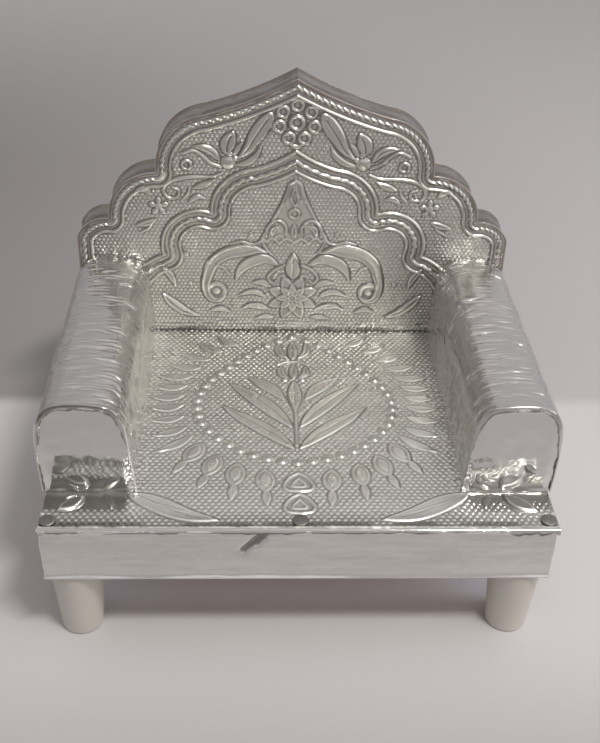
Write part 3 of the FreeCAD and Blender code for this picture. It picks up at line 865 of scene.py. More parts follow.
# Moulded polypropylene: waxy, and light goes a little way in
PLASTIC = GrainFinish("polypropylene_moulded_ivory", "#C8C2BA", "#BEB8AF", 0.42, (9.0, 9.0, 14.0), 1.2, 0.010,
                      light_through=0.25)
# Sawn softwood board, seen only from below
WOOD = GrainFinish("pine_sawn", "#CDB493", "#B0936D", 0.7, (22.0, 1.6, 1.6), 0.8, 0.06)


class Paint:
    """The finishes, each made once."""

    def __init__(self) -> None:
        """Start with none made."""
        self.made: dict[str, bpy.types.Material] = {}

    def dress(self, piece: bpy.types.Object, finish: SheetFinish | GrainFinish) -> None:
        """Give a piece one finish all over.

        Args:
            piece: the piece.
            finish: its finish.
        """
        if finish.name not in self.made:
            self.made[finish.name] = shaded(finish.name, finish.nodes)
        piece.data.materials.clear()
        piece.data.materials.append(self.made[finish.name])

    def settle(self, piece: bpy.types.Object, finish: SheetFinish | GrainFinish, slot: Slot,
               *nodes: str) -> None:
        """Dress a piece, and let it ride with the throne in place of the named nodes.

        Args:
            piece: the piece.
            finish: its finish.
            slot: its slot in the record; not used.
            *nodes: the CAD nodes that it stands for.
        """
        self.dress(piece, finish)
        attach(piece, ALL_BODIES)
        if nodes:
            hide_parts(*nodes)
        log.info("%s: %d faces", piece.name, len(piece.data.polygons))

    def board(self, name: str, node: str, keep: Sequence[Spot]) -> None:
        """Plane a hidden board down a little, so that the dents in its sheet clear it.

        Args:
            name: the new piece's name.
            node: the CAD node that it stands for.
            keep: for each axis the lowest and highest place that the board may reach, in millimetres.
        """
        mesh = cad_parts[node].data.copy()
        mesh.name = name
        spots = np.empty(len(mesh.vertices) * 3, np.float32)
        mesh.vertices.foreach_get("co", spots)
        spots = spots.reshape(-1, 3)
        low, high = spots.min(0), spots.max(0)
        for axis, (least, most) in enumerate(keep):
            share = (spots[:, axis] - low[axis]) / (high[axis] - low[axis])
            spots[:, axis] = (least + (most - least) * share) * MM
        mesh.vertices.foreach_set("co", spots.ravel())
        mesh.update()
        self.settle(linked(name, mesh), WOOD, Slot.WOOD, node)


# Backrest

# Leaves of the left half: the middle line as (x, height above the seat), then the width, the height, how
# far from the foot the leaf is widest, and the depth of its vein
BACK_LEAVES = [
    # leaf that falls from the top flower, then its lobe
    ([(-8.2, 83.2), (-11, 79), (-13.6, 75), (-16.2, 70.6), (-20.2, 66.9)], 5.6, 0.75, 0.62, 0.3),
    ([(-20.8, 65), (-16.5, 66), (-13.2, 68.6), (-11.4, 72.4)], 2.6, 0.6, 0.9, 0.0),
    # leaves on the side boss
    ([(-22.8, 68.6), (-22.8, 72.2), (-20.6, 77.0)], 5.4, 0.75, 0.9, 0.5),
    ([(-21, 68.2), (-19.3, 71), (-17.6, 73.2)], 2.2, 0.5, 0.9, 0.0),
    ([(-25.4, 66.6), (-28, 69.6), (-31, 71), (-34.8, 71.4)], 3.3, 0.65, 0.8, 0.25),
    # middle tier
    ([(-26.4, 60), (-30, 58.2), (-35, 56.4)], 2.6, 0.65, 1.3, 0.0),
    ([(-47, 45), (-50.4, 43.4), (-55, 42.4)], 2.8, 0.6, 0.9, 0.2),
    ([(-48.5, 54), (-51, 56), (-54.2, 55.4)], 2.6, 0.55, 0.9, 0.0),
    ([(-30.2, 52.8), (-33.5, 53.4), (-36.8, 50.6)], 2.2, 0.5, 0.9, 0.0),
    # broad leaf inside the large scroll, then those round the central flower
    ([(-5.0, 27.4), (-10.0, 30.0), (-15.4, 28.6), (-18.8, 25.2), (-20.4, 20.6)], 4.4, 0.6, 0.9, 0.0),
    ([(-7.6, 18.6), (-11.0, 20.6), (-15.2, 20.4)], 2.8, 0.4, 0.8, 0.0),
    ([(-9.6, 14.8), (-13, 16.6), (-16.4, 16.4), (-20.2, 14.6)], 2.8, 0.42, 0.7, 0.0),
    ([(-8.6, 9.8), (-12.4, 10.8), (-16, 10.8), (-19.0, 8.8)], 3.0, 0.42, 0.7, 0.0),
    ([(-6.4, 6.2), (-10, 6.4), (-14, 5.4)], 2.4, 0.35, 0.8, 0.0),
    # foot of the panel
    ([(-46.5, 15.8), (-43, 11.8), (-38.6, 8.4), (-33, 6.4)], 4.0, 0.8, 0.8, 0.3),
    ([(-30, 8.4), (-26, 9.6), (-22, 8)], 2.6, 0.5, 0.9, 0.0),
    ([(-46, 26.5), (-43, 22.5), (-41.4, 18)], 2.8, 0.6, 0.8, 0.2),
]
# Lines of the left half: their points, width and height, and whether they thin towards their ends
BACK_LINES = [
    # band under the side leaves
    ([(-25.4, 64.4), (-28.6, 65.8), (-31.6, 68.6), (-34.6, 70), (-38, 68.8)], 1.3, 0.6, False),
    # scroll of the middle tier and its hook
    ([(-24.6, 62.2), (-29, 60.7), (-35, 60.6), (-40, 59.8), (-43.6, 57.8), (-44.4, 55), (-42.6, 52.8),
      (-39.8, 53.4), (-39.4, 55.8), (-41.4, 56.6)], 1.7, 0.7, True),
    ([(-35.6, 57), (-36.4, 54.4), (-38.6, 51.8)], 1.2, 0.55, True),
    ([(-48.4, 44.6), (-50, 41.6), (-53.2, 39.6)], 1.1, 0.5, True),
    # inside the tall bud under the arch: its lobes and the tail of its drop, then the wavy line at its foot
    ([(-9.6, 38.9), (-9.2, 42.0), (-7.0, 44.7), (-4.4, 44.6), (-2.8, 42.4), (-2.8, 40.2)], 1.5, 0.9, False),
    ([(-6.8, 37.6), (-6.2, 39.0), (-4.4, 39.2), (-3.4, 37.6)], 1.1, 0.7, False),
    ([(0, 50.2), (-1.2, 53.0), (-0.2, 57.4)], 1.4, 0.7, True),
    ([(-2.5, 56.4), (-4.3, 51.2), (-6.8, 46.4)], 1.1, 0.75, True),
    ([(-9.9, 40.6), (-10.9, 37.2), (-9.8, 34.2), (-8.0, 32.0)], 1.2, 0.6, True),
    ([(-10.6, 39.0), (-12.0, 36.6), (-14.6, 35.8), (-18.4, 36.6), (-21.8, 35.8)], 1.2, 0.6, False),
    # hooks beside the central flower
    ([(-3.0, 27.6), (-6.4, 25.8), (-8.8, 22.8), (-7.4, 20.4), (-5.6, 21.4)], 1.3, 0.6, True),
    ([(-2.4, 20.6), (-3.2, 23.2), (-5.2, 23.0)], 1.1, 0.5, True),
    ([(-27.4, 27.2), (-24.4, 26.2), (-22.6, 23.6)], 1.1, 0.4, True),
]
TALL_BUD = [(0.0, 60.4), (-2.3, 58.6), (-3.3, 55.4), (-5.2, 50.8), (-7.6, 46.0), (-9.4, 42.4), (-11.2, 38.6),
            (-9.6, 36.3), (-7.4, 37.6), (-5.2, 35.6), (-2.6, 37.4), (0.0, 35.8)]
LARGE_SCROLL = [(-9.6, 32.6), (-14.0, 33.6), (-19.4, 33.2), (-24.6, 31.4), (-28.4, 28.0), (-30.2, 23.4),
                (-31.0, 18.6), (-29.8, 14.6), (-26.8, 13.2), (-24.2, 15.0)]
# The same for round forms: place, radius, height and depth of the hollow
BACK_DISCS = [((-22.6, 66.0), 2.5, 0.95, 0.0), ((-22.0, 69.0), 1.0, 0.8, 0.0), ((-20.2, 67.4), 0.9, 0.8, 0.0),
              ((-36.5, 64.9), 2.2, 0.8, 0.6), ((0.0, 47.6), 2.4, 0.85, 0.65), ((-36.5, 20.0), 0.9, 0.5, 0.0),
              ((-37.5, 31.5), 0.9, 0.5, 0.0), ((-15.0, 39.6), 0.9, 0.5, 0.0), ((-27.4, 16.8), 4.1, 0.55, 0.4),
              ((-27.2, 17.0), 1.6, 0.5, 0.0)]


@dataclass
class Backrest:
    """The cusped backrest: embossed front, bent edge strip and plain rear."""

    paint: Paint
    high: float = 94.6
    arch_high: float = 70.2
    foot: float = UNDER_Z - SEAT_Z
    cell: float = 0.3
    rear_cell: float = 0.8
    border_line: Line = (5.0, 1.3, 0.75)
    border_rope: Line = (2.4, 1.6, 0.9)
    strand: float = 2.4
    arch_lines: tuple[Line, Line] = ((0.0, 1.5, 0.95), (6.0, 1.2, 0.80))
    arch_rope: Line = (3.1, 1.9, 0.75)
    arch_strand: float = 3.4
    arch_wide: float = 7.0
    dot_pitch: Spot = (1.5, 1.32)
    dot_high: float = 0.26
    top_flower_at: float = 80.0
    petal_ring: float = 5.9
    low_flower_at: float = 14.4
    foot_crumple: float = 0.26
    front_swell: float = 0.10
    rear_crumple: float = 0.10
    rear_swell: float = 0.12
    fold: float = 0.5
    strip_step: float = 0.45

    def outline(self, step: float = 0.5) -> np.ndarray:
        """The outline from the right foot over the top to the left foot."""
        return arch_spots(BACK_SHARES, self.high, self.foot, step)

    def emboss(self, relief: Relief, outline: np.ndarray) -> None:
        """Press the whole front pattern.

        Args:
            relief: the sheet.
            outline: the backrest's outline.
        """
        border = relief.trace(outline, 8.0)
        self.contour(relief, border, border.gap, self.border_line)
        self.contour(relief, border, border.gap, self.border_rope, self.strand)
        relief.cover(border.window, smooth((self.border_line[0] + 0.9 - border.gap) / 0.3))
        arch = arch_spots(ARCH_SHARES, self.arch_high, 0.0)
        found = relief.trace(arch, 9.0)
        deep = np.where(inside(arch, *relief.spots(found.window)), found.gap, -found.gap)
        waves = 0.14 * np.sin(math.tau * found.run / self.arch_strand)
        waves = waves + 0.08 * ripple(found.run / 1.7, deep / 9.0, 35)
        for line in self.arch_lines:
            self.contour(relief, found, deep, line)
        self.contour(relief, found, deep + waves, self.arch_rope)
        relief.cover(found.window, smooth((deep + 1.0) / 0.3) * smooth((self.arch_wide - deep) / 0.3))
        self.centre(relief)
        self.top_flower(relief)
        for points, wide, high, fat, vein in BACK_LEAVES:
            relief.leaf(points, wide, high, fat=fat, vein=vein)
        for points, wide, high, taper in BACK_LINES:
            relief.ridge(points, wide, high, taper=taper)
        for spot, radius, high, dished in BACK_DISCS:
            relief.disc(spot, radius, high, dished=dished)
        relief.flower((-46.4, 49.7), 5, 3.7, 2.3, 0.55, eye=1.5, turn=18)
        relief.dots(self.dot_pitch, self.dot_high, seed=11)

    def contour(self, relief: Relief, found: Trace, deep: np.ndarray, line: Line,
                strand: float = 0.0) -> None:
        """Raise a line that runs beside an outline.

        Args:
            relief: the sheet.
            found: how the points lie to the outline.
            deep: how far inside the outline they are.
            line: its depth inside the outline, its width and its height.
            strand: length of one strand where the line is a rope.
        """
        at, wide, high = line
        off = np.clip((deep - at) / (wide / 2), -2.0, 2.0)
        profile = round_off(off / 1.15)
        if strand:
            profile = profile * (0.1 + 0.9 * np.abs(np.cos(np.pi * (found.run / strand + off * 0.45))) ** 0.8)
        relief.lift(found.window, high * profile, np.zeros_like(profile))

    def centre(self, relief: Relief) -> None:
        """Raise the tall bud, the large scrolls and the central flower.

        Args:
            relief: the sheet.
        """
        half = curve_spots(TALL_BUD)
        relief.plateau(np.vstack([half, half[-2:0:-1] * (-1, 1)]), 0.3, 0.3)
        relief.leaf([(0, 38.4), (0, 40.6), (0, 44.2)], 3.0, 0.75, vein=0.3, both=False)
        relief.leaf([(-7.6, 38.6), (-7.2, 41.4), (-4.4, 43.0)], 2.6, 0.7, fat=1.0, vein=0.3)
        for path in mirrored(curve_spots(LARGE_SCROLL)):
            found = relief.trace(path, 5.0)
            share = found.share
            edge = 0.8 + 2.3 * smooth(share * 5) * (1 - share) ** 0.6 - found.gap
            face = 0.65 * smooth(edge / 0.8) + 0.22 * np.exp(-((edge - 0.8) / 0.4) ** 2)
            relief.lift(found.window, face, smooth((edge + 0.5) / 0.3))
        relief.leaf([(0, 22), (0, 26), (0, 32.8)], 6.0, 0.8, fat=0.75, vein=0.15, both=False, edge_wide=1.0)
        relief.flower((0, self.low_flower_at), 8, 9.4, 4.8, 0.55, eye=2.2, turn=22.5)
        relief.flower((0, self.low_flower_at), 8, 6.0, 3.4, 0.95, eye=2.0)

    def top_flower(self, relief: Relief) -> None:
        """Raise the flower of round dished petals under the point of the backrest.

        Args:
            relief: the sheet.
        """
        for petal in range(7):
            angle = math.radians(360.0 / 7 * petal + 90.0)
            x, up = self.petal_ring * math.cos(angle), self.top_flower_at + self.petal_ring * math.sin(angle)
            relief.disc((x, up), 2.5, 0.75, dished=0.6, both=False)
        relief.disc((0.0, self.top_flower_at), 3.0, 1.0, dished=0.75)
        relief.leaf([(-2.6, 73), (0, 71.6), (2.6, 73)], 2.0, 0.55, both=False)

    def front_sheet(self) -> None:
        """Build the embossed sheet, trimmed to the cusped outline."""
        outline = self.outline()
        relief = Relief((-HALF_WIDE, HALF_WIDE), (self.foot, self.high), self.cell)
        self.emboss(relief, outline)
        across, up = np.meshgrid(relief.x, relief.z)
        near_foot = smooth((6.5 - up) / 3.0) * smooth((up + 2.0) / 2.0)
        relief.height += self.foot_crumple * near_foot * crumple(across / 3.4, up / 1.8, seed=21)
        swell = ripple(across / 17, up / 13, 31) + 0.5 * ripple(across / 6, up / 6, 32)
        relief.height += self.front_swell * swell
        relief.height[up < -0.5] = 0.0
        # Painted shade: a dark band where the sheet meets the seat, and a slight darkening over the lower
        # part
        painted_shade = 0.8 * smooth((1.9 - up + 0.7 * ripple(across / 4, up / 2, 33)) / 1.4)
        painted_shade = painted_shade + 0.07 * smooth((30.0 - up) / 12.0)
        spots, cells = self.trimmed(np.dstack([across, BACK_Y - relief.height, up]), outline)
        spots[..., 1] = np.clip(spots[..., 1], BACK_Y - 1.4, BACK_Y + 0.2)
        # nothing is needed behind the arms and below the seat
        hidden = (up < -0.9) | ((np.abs(across) > ARM_INNER_X + 2.5) & (np.abs(across) < 72.5) & (up < 18.0))
        cells &= ~np.logical_and.reduce(corners(hidden))
        piece = grid_piece("backrest_embossed_front", spots, cells, relief.depth(painted_shade))
        self.paint.settle(piece, EMBOSSED_SHADED, Slot.EMBOSSED, "back_sheet")

    def trimmed(self, spots: np.ndarray, outline: np.ndarray,
                edge_y: float = BACK_Y) -> tuple[np.ndarray, np.ndarray]:
        """Move the outermost points of an upright grid on to the outline, and the grid up to the seat.

        Args:
            spots: the grid's places, with heights above the seat.
            outline: the outline.
            edge_y: how far back the moved points lie.

        Returns:
            The places, and which cells have a face.
        """
        within = inside(outline, spots[..., 0], spots[..., 2])
        cells = np.logical_or.reduce(corners(within))
        needed = np.zeros_like(within)
        for corner in corners(needed):
            np.logical_or(corner, cells, out=corner)
        tight = even_spots(outline, 0.1)
        for row, col in zip(*np.nonzero(needed & ~within)):
            nearest = np.argmin(np.hypot(*(tight - spots[row, col, [0, 2]]).T))
            spots[row, col] = (tight[nearest, 0], edge_y, tight[nearest, 1])
        spots[..., 2] += SEAT_Z
        return spots, cells

    def edge_strip(self) -> None:
        """Build the strip bent over the edge, with a rounded fold at each face."""
        path = even_spots(self.outline(0.2), self.strip_step)
        path[:, 1] += SEAT_Z
        thick = REAR_Y - BACK_Y
        turn = [(out - self.fold, deep) for out, deep in quarter(self.fold)]
        section = [(-1.15, 0.12), (-1.1, -0.16), (-0.85, -0.18)]
        section += [(out, deep - 0.15) for out, deep in turn]
        section += [(0.0, deep) for deep in np.linspace(self.fold, thick - self.fold, 20)[1:-1]]
        section += [(out, thick - deep) for out, deep in turn[::-1]]
        section += [(-1.2, thick), (-2.4, thick - 0.02), (-2.5, thick - 0.35)]
        run = np.arange(len(path))[:, None] * self.strip_step
        flat = np.zeros_like(run)
        deep = np.array(section)[None, :, 1]
        free = smooth(deep / 2.0) * smooth((thick - deep) / 1.5)
        dent = 0.28 * crumple(run / 6.0, deep / 5.0, seed=41)
        dent = dent + 0.22 * (1 + ripple(run / 11.0, deep / 9.0, 44))
        rear = smooth((deep - 6.0) / 3.0)
        dent = dent + 0.30 * rear * np.abs(ripple(run / 1.5 + 0.3 * deep, deep / 2.5, 51))
        ragged = np.zeros((len(path), len(section)))
        ragged[:, :3] = 0.35 * ripple(run / 2.6, flat, 47)
        ragged[:, -3:] = -0.5 * (1 + ripple(run / 4.0, flat, 49))
        spots = swept(path, section, ragged - free * dent)
        places = np.dstack([spots[..., 0], BACK_Y + spots[..., 2], spots[..., 1]])
        places[..., 0] = np.clip(places[..., 0], -HALF_WIDE, HALF_WIDE)
        places[..., 2] = np.clip(places[..., 2], UNDER_Z, SEAT_Z + self.high)
        # Painted shade: the front half of the bent edge is darkened, standing for the shadowed wall it
        # reflects
        front_shade = smooth((6.5 + 1.5 * ripple(run / 6.0, deep / 9.0, 52) - deep) / 3.5)
        piece = grid_piece("backrest_bent_edge", places, depth=0.85 * front_shade * smooth(deep / 0.6))
        self.paint.settle(piece, EDGE, Slot.PLAIN, "back_edge_band")

    def rear_sheet(self) -> None:
        """Build the plain rear sheet, with soft dents and a few creases."""
        relief = Relief((-HALF_WIDE, HALF_WIDE), (self.foot, self.high), self.rear_cell)
        across, up = np.meshgrid(relief.x, relief.z)
        hollow = self.rear_crumple * crumple(across / 22, up / 16, seed=61)
        hollow = hollow + self.rear_swell * (1 + ripple(across / 30, up / 26, 63))
        for nail_x, nail_z in Nails.REAR_PLACES:
            gap = np.hypot(across - nail_x, up + SEAT_Z - nail_z)
            hollow = hollow + 0.12 * np.exp(-(gap / 4.5) ** 2)
        spots, cells = self.trimmed(np.dstack([across, REAR_Y - hollow, up]), self.outline(), REAR_Y - 0.2)
        piece = grid_piece("backrest_plain_rear", spots, cells, flip=True)
        self.paint.settle(piece, PLAIN, Slot.PLAIN, "back_rear_sheet")

    def build(self) -> None:
        """Build all the backrest's sheets and its board."""
        self.front_sheet()
        self.edge_strip()
        self.rear_sheet()
        keep = [(1.5 - HALF_WIDE, HALF_WIDE - 1.5), (BACK_Y + 0.5, REAR_Y - 0.6),
                (UNDER_Z + 0.3, SEAT_Z + self.high - 1.6)]
        self.paint.board("backrest_board", "back_board", keep)


# Seat

# Beads of the seat's ring, from the middle to the right: (x, distance behind the front edge)
BEAD_RING = [(0.0, 30.5), (4.7, 31.1), (9.2, 32.4), (13.7, 34.1), (17.8, 36.4), (21.4, 39.2), (24.9, 42.5),
             (28.0, 46.4), (30.3, 50.4), (31.6, 54.5), (32.3, 58.8), (32.3, 63.1), (31.5, 67.4), (30.0, 71.6),
             (27.9, 75.5), (25.2, 79.2), (22.3, 82.9), (19.3, 86.6), (16.2, 90.2), (12.9, 93.8), (9.3, 97.2),
             (5.0, 100.3), (0.0, 102.8)]
# Buds that hang from the ring, each as its foot and its tip
RING_BUDS = [((10.3, 27.4), (9.5, 10.2)), ((18.6, 30.2), (20.2, 12.6)), ((24.4, 34.4), (30.2, 17.8)),
             ((29.3, 40.0), (38.2, 24.9))]
# Narrow petals round the rest of the ring, each as its foot and its tip
RING_PETALS = [((32.6, 44.2), (45.6, 34.8)), ((34.6, 48.8), (47.4, 43.4)), ((36.0, 54.6), (48.2, 51.6)),
               ((36.6, 60.6), (48.4, 58.4)), ((36.6, 66.2), (48.4, 64.6)), ((35.8, 71.8), (48.0, 70.6)),
               ((34.2, 77.4), (47.4, 77.0)), ((31.6, 82.6), (44.0, 84.4)), ((28.4, 87.6), (40.4, 91.6)),
               ((24.4, 92.6), (34.6, 98.6)), ((19.4, 97.0), (27.4, 103.4))]
# Leaves of the right half, with the same values as the backrest's
SEAT_LEAVES = [
    # two long pairs that fan from the stem, then the small pair above them
    ([(0.8, 37.0), (6.6, 43.8), (13.0, 49.8), (19.0, 54.8), (24.3, 60.4)], 5.8, 0.42, 0.85, 0.10),
    ([(1.2, 48.0), (5.4, 54.6), (11.4, 62.2), (17.4, 68.6), (22.4, 73.4)], 6.2, 0.42, 0.9, 0.10),
    ([(3.2, 62.8), (6.8, 68.6), (11.2, 73.2), (15.8, 76.8)], 5.2, 0.36, 1.05, 0.0),
    # tulip and lotus up the middle
    ([(1.6, 75.8), (4.2, 79.0), (4.2, 84.4)], 3.0, 0.38, 0.9, 0.1),
    ([(1.6, 88.4), (4.8, 92.4), (4.8, 99.2)], 3.2, 0.38, 0.9, 0.1),
    # corner leaves
    ([(50.5, 15.4), (43.0, 11.8), (33.5, 6.6), (23.0, 3.9)], 7.2, 0.38, 0.75, 0.08),
]


@dataclass
class Seat:
    """The embossed seat sheet, its lip over the front edge and the plain band round the board."""

    paint: Paint
    cell: float = 0.3
    margin: float = 0.4
    dot_pitch: Spot = (1.98, 1.42)
    bead: float = 1.8
    bead_top: float = 1.0
    bud_bow: float = 0.03
    petal_bow: float = -0.9
    hearts_at: Spot = (16.6, 6.9)
    plain_from: Spot = (8.0, 11.0)
    dot_high: float = 0.27
    rear_crumple: float = 0.18
    swell: float = 0.12
    beside_crumple: float = 0.16
    nail_ring: float = 2.9
    lip_high: float = 1.0
    lip_radius: float = 0.5
    lip_points: int = 601
    band_corner: float = 0.6
    band_step: float = 0.5
    crease_ends: tuple[Spot, Spot] = ((-16.4, 11.0), (-9.4, 18.2))

    def bud(self, relief: Relief, foot: Spot, tip: Spot) -> None:
        """Press a bud: a teardrop with an oval in it, and the pointed lobe that hangs from it.

        Args:
            relief: the sheet.
            foot: where it hangs from the ring.
            tip: the end of its lobe.
        """
        start, way = np.array(foot), np.array(tip) - np.array(foot)
        for lean in (self.bud_bow, -self.bud_bow):
            bow = lean * np.array([way[1], -way[0]])
            relief.leaf([start, start + 0.32 * way + bow, start + 0.66 * way], 5.4, 0.26, fat=0.9)
            relief.leaf([start + 0.10 * way, start + 0.30 * way + bow, start + 0.54 * way], 2.6, 0.46,
                        fat=0.9, rim=0.04)
        relief.leaf([start + 0.56 * way, start + 0.78 * way, start + way], 3.3, 0.30, rim=0.06)

    def petal(self, relief: Relief, foot: Spot, tip: Spot) -> None:
        """Press a narrow petal, bowed towards the front, with two short lines on it.

        Args:
            relief: the sheet.
            foot: where it starts beside the ring.
            tip: its outer end.
        """
        start, way = np.array(foot), np.array(tip) - np.array(foot)
        bow = np.array([0.0, self.petal_bow])
        tip = start + 0.9 * way
        relief.leaf([start, start + 0.3 * way + bow, start + 0.6 * way + bow, tip], 4.0, 0.22, fat=0.95,
                    rim=0.05)
        relief.ridge([start + 0.6 * way + 1.8 * bow, start + 0.75 * way + 1.4 * bow, tip], 0.85, 0.5,
                     taper=True)
        relief.ridge([start + 0.35 * way - 0.3 * bow, start + 0.55 * way - 0.4 * bow, start + 0.75 * way],
                     0.75, 0.4, taper=True)

    def heart(self, relief: Relief, low: float) -> None:
        """Press a heart-shaped form on the middle line.

        Args:
            relief: the sheet.
            low: how far behind the front edge it starts.
        """
        relief.ridge([(0, low + 8.8), (-2.6, low + 6.8), (-4.4, low + 3.4), (-3.5, low + 0.9),
                      (0, low + 0.4)], 1.5, 0.42)
        relief.ridge([(0, low + 6.4), (-1.8, low + 3.8), (-1.7, low + 2.5), (0, low + 2.3)], 1.1, 0.3)
        relief.ridge([(-3.0, low + 0.6), (0, low + 0.1), (3.0, low + 0.6)], 1.0, 0.55, both=False, taper=True)
        rows = (relief.z > low) & (relief.z < low + 8)
        relief.clear[rows[:, None] & (np.abs(relief.x) < 3.6)[None, :]] = 1.0

    def before_arms(self, relief: Relief) -> None:
        """Press the leaves that show in front of the arms, which differ from side to side.

        Args:
            relief: the sheet.
        """
        relief.leaf([(60.6, 15.4), (65.2, 10.8), (70.2, 7.4)], 6.0, 0.7, fat=0.95, rim=0.0, both=False,
                    edge_wide=1.2)
        relief.leaf([(-63.0, 14.6), (-66.2, 11.2), (-70.4, 7.8)], 5.6, 0.8, fat=0.95, rim=0.0, both=False,
                    edge_wide=1.3)
        relief.ridge([(-65.4, 14.8), (-67.0, 14.4), (-68.4, 13.4)], 1.1, 0.6, taper=True, both=False)
        relief.leaf([(57.6, 15.4), (55.4, 12.2), (54.6, 8.4)], 2.8, 0.26, fat=0.9, rim=0.0, edge_wide=0.8)
        relief.ridge([(47.5, 14.2), (41, 10.6), (34, 7.6)], 0.9, 0.52, taper=True)

    def emboss(self, relief: Relief) -> None:
        """Press the whole seat pattern.

        Args:
            relief: the sheet.
        """
        for x, back in BEAD_RING:
            relief.disc((x, back), self.bead, 0.32)
            relief.disc((x, back - 0.5), self.bead_top, 0.68)
        for foot, tip in RING_BUDS:
            self.bud(relief, foot, tip)
        for foot, tip in RING_PETALS:
            self.petal(relief, foot, tip)
        for points, wide, high, fat, vein in SEAT_LEAVES:
            relief.leaf(points, wide, high, fat=fat, vein=vein)
        self.before_arms(relief)
        relief.ridge([(0, 39), (0, 47), (0, 56)], 1.1, 0.35, both=False)
        relief.leaf([(0, 56.0), (0, 66.0), (0, 75.0)], 5.0, 0.38, fat=1.15, vein=0.1, both=False)
        relief.leaf([(0, 75.4), (0, 80.0), (0, 85.4)], 3.4, 0.42, vein=0.1, both=False)
        relief.leaf([(0, 87.6), (0, 93.6), (0, 100.0)], 3.8, 0.42, vein=0.1, both=False)
        relief.ridge([(-5.4, 84.6), (-2, 86.4), (2, 86.4), (5.4, 84.6)], 1.3, 0.4, both=False)
        relief.disc((3.0, 75.0), 1.1, 0.7)
        for low in self.hearts_at:
            self.heart(relief, low)
        across, back = np.abs(relief.x)[None, :], relief.z[:, None]
        plain_from = np.where(relief.x > 0, self.plain_from[1], self.plain_from[0])[None, :]
        plain = smooth((across - ARM_INNER_X - 2.0) / 2.0) * smooth((back - plain_from) / 2.5)
        relief.clear = np.maximum(relief.clear, plain)
        high = self.dot_high - 0.08 * smooth((across - ARM_INNER_X - 2.0) / 3.0)
        high = high + 0.09 * smooth((back - 68.0) / 14.0)
        relief.dots(self.dot_pitch, high, seed=12)

    def embossed_sheet(self) -> None:
        """Build the seat's relief, which runs on in front of the arms and a little way under them."""
        deep = BACK_Y - FRONT_Y
        relief = Relief((self.margin - HALF_WIDE, HALF_WIDE - self.margin), (0.35, deep), self.cell)
        self.emboss(relief)
        across, back = np.meshgrid(relief.x, relief.z)
        rear = smooth((back - deep + 5.0) / 3.5)
        relief.height += self.rear_crumple * rear * crumple(across / 3.0, back / 1.6, seed=71)
        swell = ripple(across / 21, back / 16, 72) + 0.6 * ripple(across / 7, back / 6, 73)
        relief.height += self.swell * swell
        beside = self.beside_crumple * smooth((np.abs(across) - ARM_INNER_X + 3.0) / 2.0)
        relief.height += beside * crumple(across / 4, back / 3, seed=75) * smooth((back - 14.0) / 3.0)
        for nail_x in FRONT_NAILS_X:
            gap = np.hypot(across - nail_x, back - NAIL_INSET)
            relief.height *= smooth((gap - self.nail_ring + 0.7) / 0.8)
            relief.height -= 0.12 * np.exp(-((gap - self.nail_ring) / 0.8) ** 2)
        relief.height *= smooth((back - 1.0) / 1.2)
        roll = 0.25 + 0.14 * ripple(across / 4.5, back / 9.0, 77)
        roll += 0.07 * ripple(across / 1.3, back / 9.0, 78)
        roll *= 1.0 - 0.6 * smooth((across - ARM_INNER_X) / 4.0)
        relief.height += roll * round_off((back - 1.2) / 1.0)
        relief.height = np.clip(relief.height, -0.25, 1.2)
        # Painted shade: dark where the seat meets the backrest, darker in front of the arms where the dark
        # reflection falls, in a line behind the lip, and slightly over the front strip
        painted_shade = 0.6 * smooth((back - deep + 0.9) / 0.8)
        painted_shade = painted_shade + 0.3 * smooth((np.abs(across) - ARM_INNER_X - 1.5) / 2.0) * smooth((back - 6.0) / 4.0)
        behind_lip = 0.65 * round_off((back - 2.3) / 1.2)
        painted_shade = painted_shade + behind_lip * smooth(0.7 + ripple(across / 6.0, back / 9.0, 79))
        painted_shade = painted_shade + 0.12 * smooth((9.0 - back) / 5.0)
        spots = np.dstack([across, FRONT_Y + back, SEAT_Z + relief.height])
        under_arms = (np.abs(across) > ARM_INNER_X + 3.0) & (back > 19.5)
        cells = ~np.logical_and.reduce(corners(under_arms))
        piece = grid_piece("seat_embossed_sheet", spots, cells, relief.depth(painted_shade))
        self.paint.settle(piece, EMBOSSED, Slot.EMBOSSED, "seat_sheet")

    def front_lip(self) -> None:
        """Build the wavy fold of the seat sheet over the band."""
        along = np.linspace(-HALF_WIDE + 0.02, HALF_WIDE - 0.02, self.lip_points)
        flat = np.zeros_like(along)
        wave = ripple(along / 5.0, flat, 81) + 0.5 * ripple(along / 1.9, flat + 3, 82)
        torn = smooth((along - ARM_INNER_X - 2.0) / 12.0) * (0.5 + ripple(along / 1.7, flat + 7, 84))
        low = self.lip_high * (0.45 + 0.60 * wave + torn)
        stand = 0.13 * (1 + ripple(along / 2.6, flat + 5, 83))
        radius = self.lip_radius
        rows = [(flat + 1.0, flat), (flat + 0.72, flat + 0.04)]
        rows += [(flat + radius - (radius + 0.12) * math.sin(angle),
                  flat + 0.04 - radius + radius * math.cos(angle)) for angle in np.linspace(0, QUARTER, 6)]
        rows += [(-0.14 - stand * share, 0.04 - radius - low * share) for share in (0.35, 0.7, 1.0)]
        rows += [(-0.04 - stand * 0.6, 0.02 - radius - low * 1.02), (flat + 0.06, 0.1 - radius - low * 0.8)]
        spots = np.stack([np.column_stack([along, np.maximum(FRONT_Y + out, FRONT_Y - SHEET), SEAT_Z + up])
                          for out, up in rows])
        # Painted shade along the fold's free edge
        marks = np.zeros(spots.shape[:2])
        marks[-4:] = 0.9 + 0.5 * wave
        marks[-2:] = 1.7
        piece = grid_piece("seat_front_fold", spots, depth=marks, flip=True)
        self.paint.settle(piece, FOLDED, Slot.EMBOSSED)

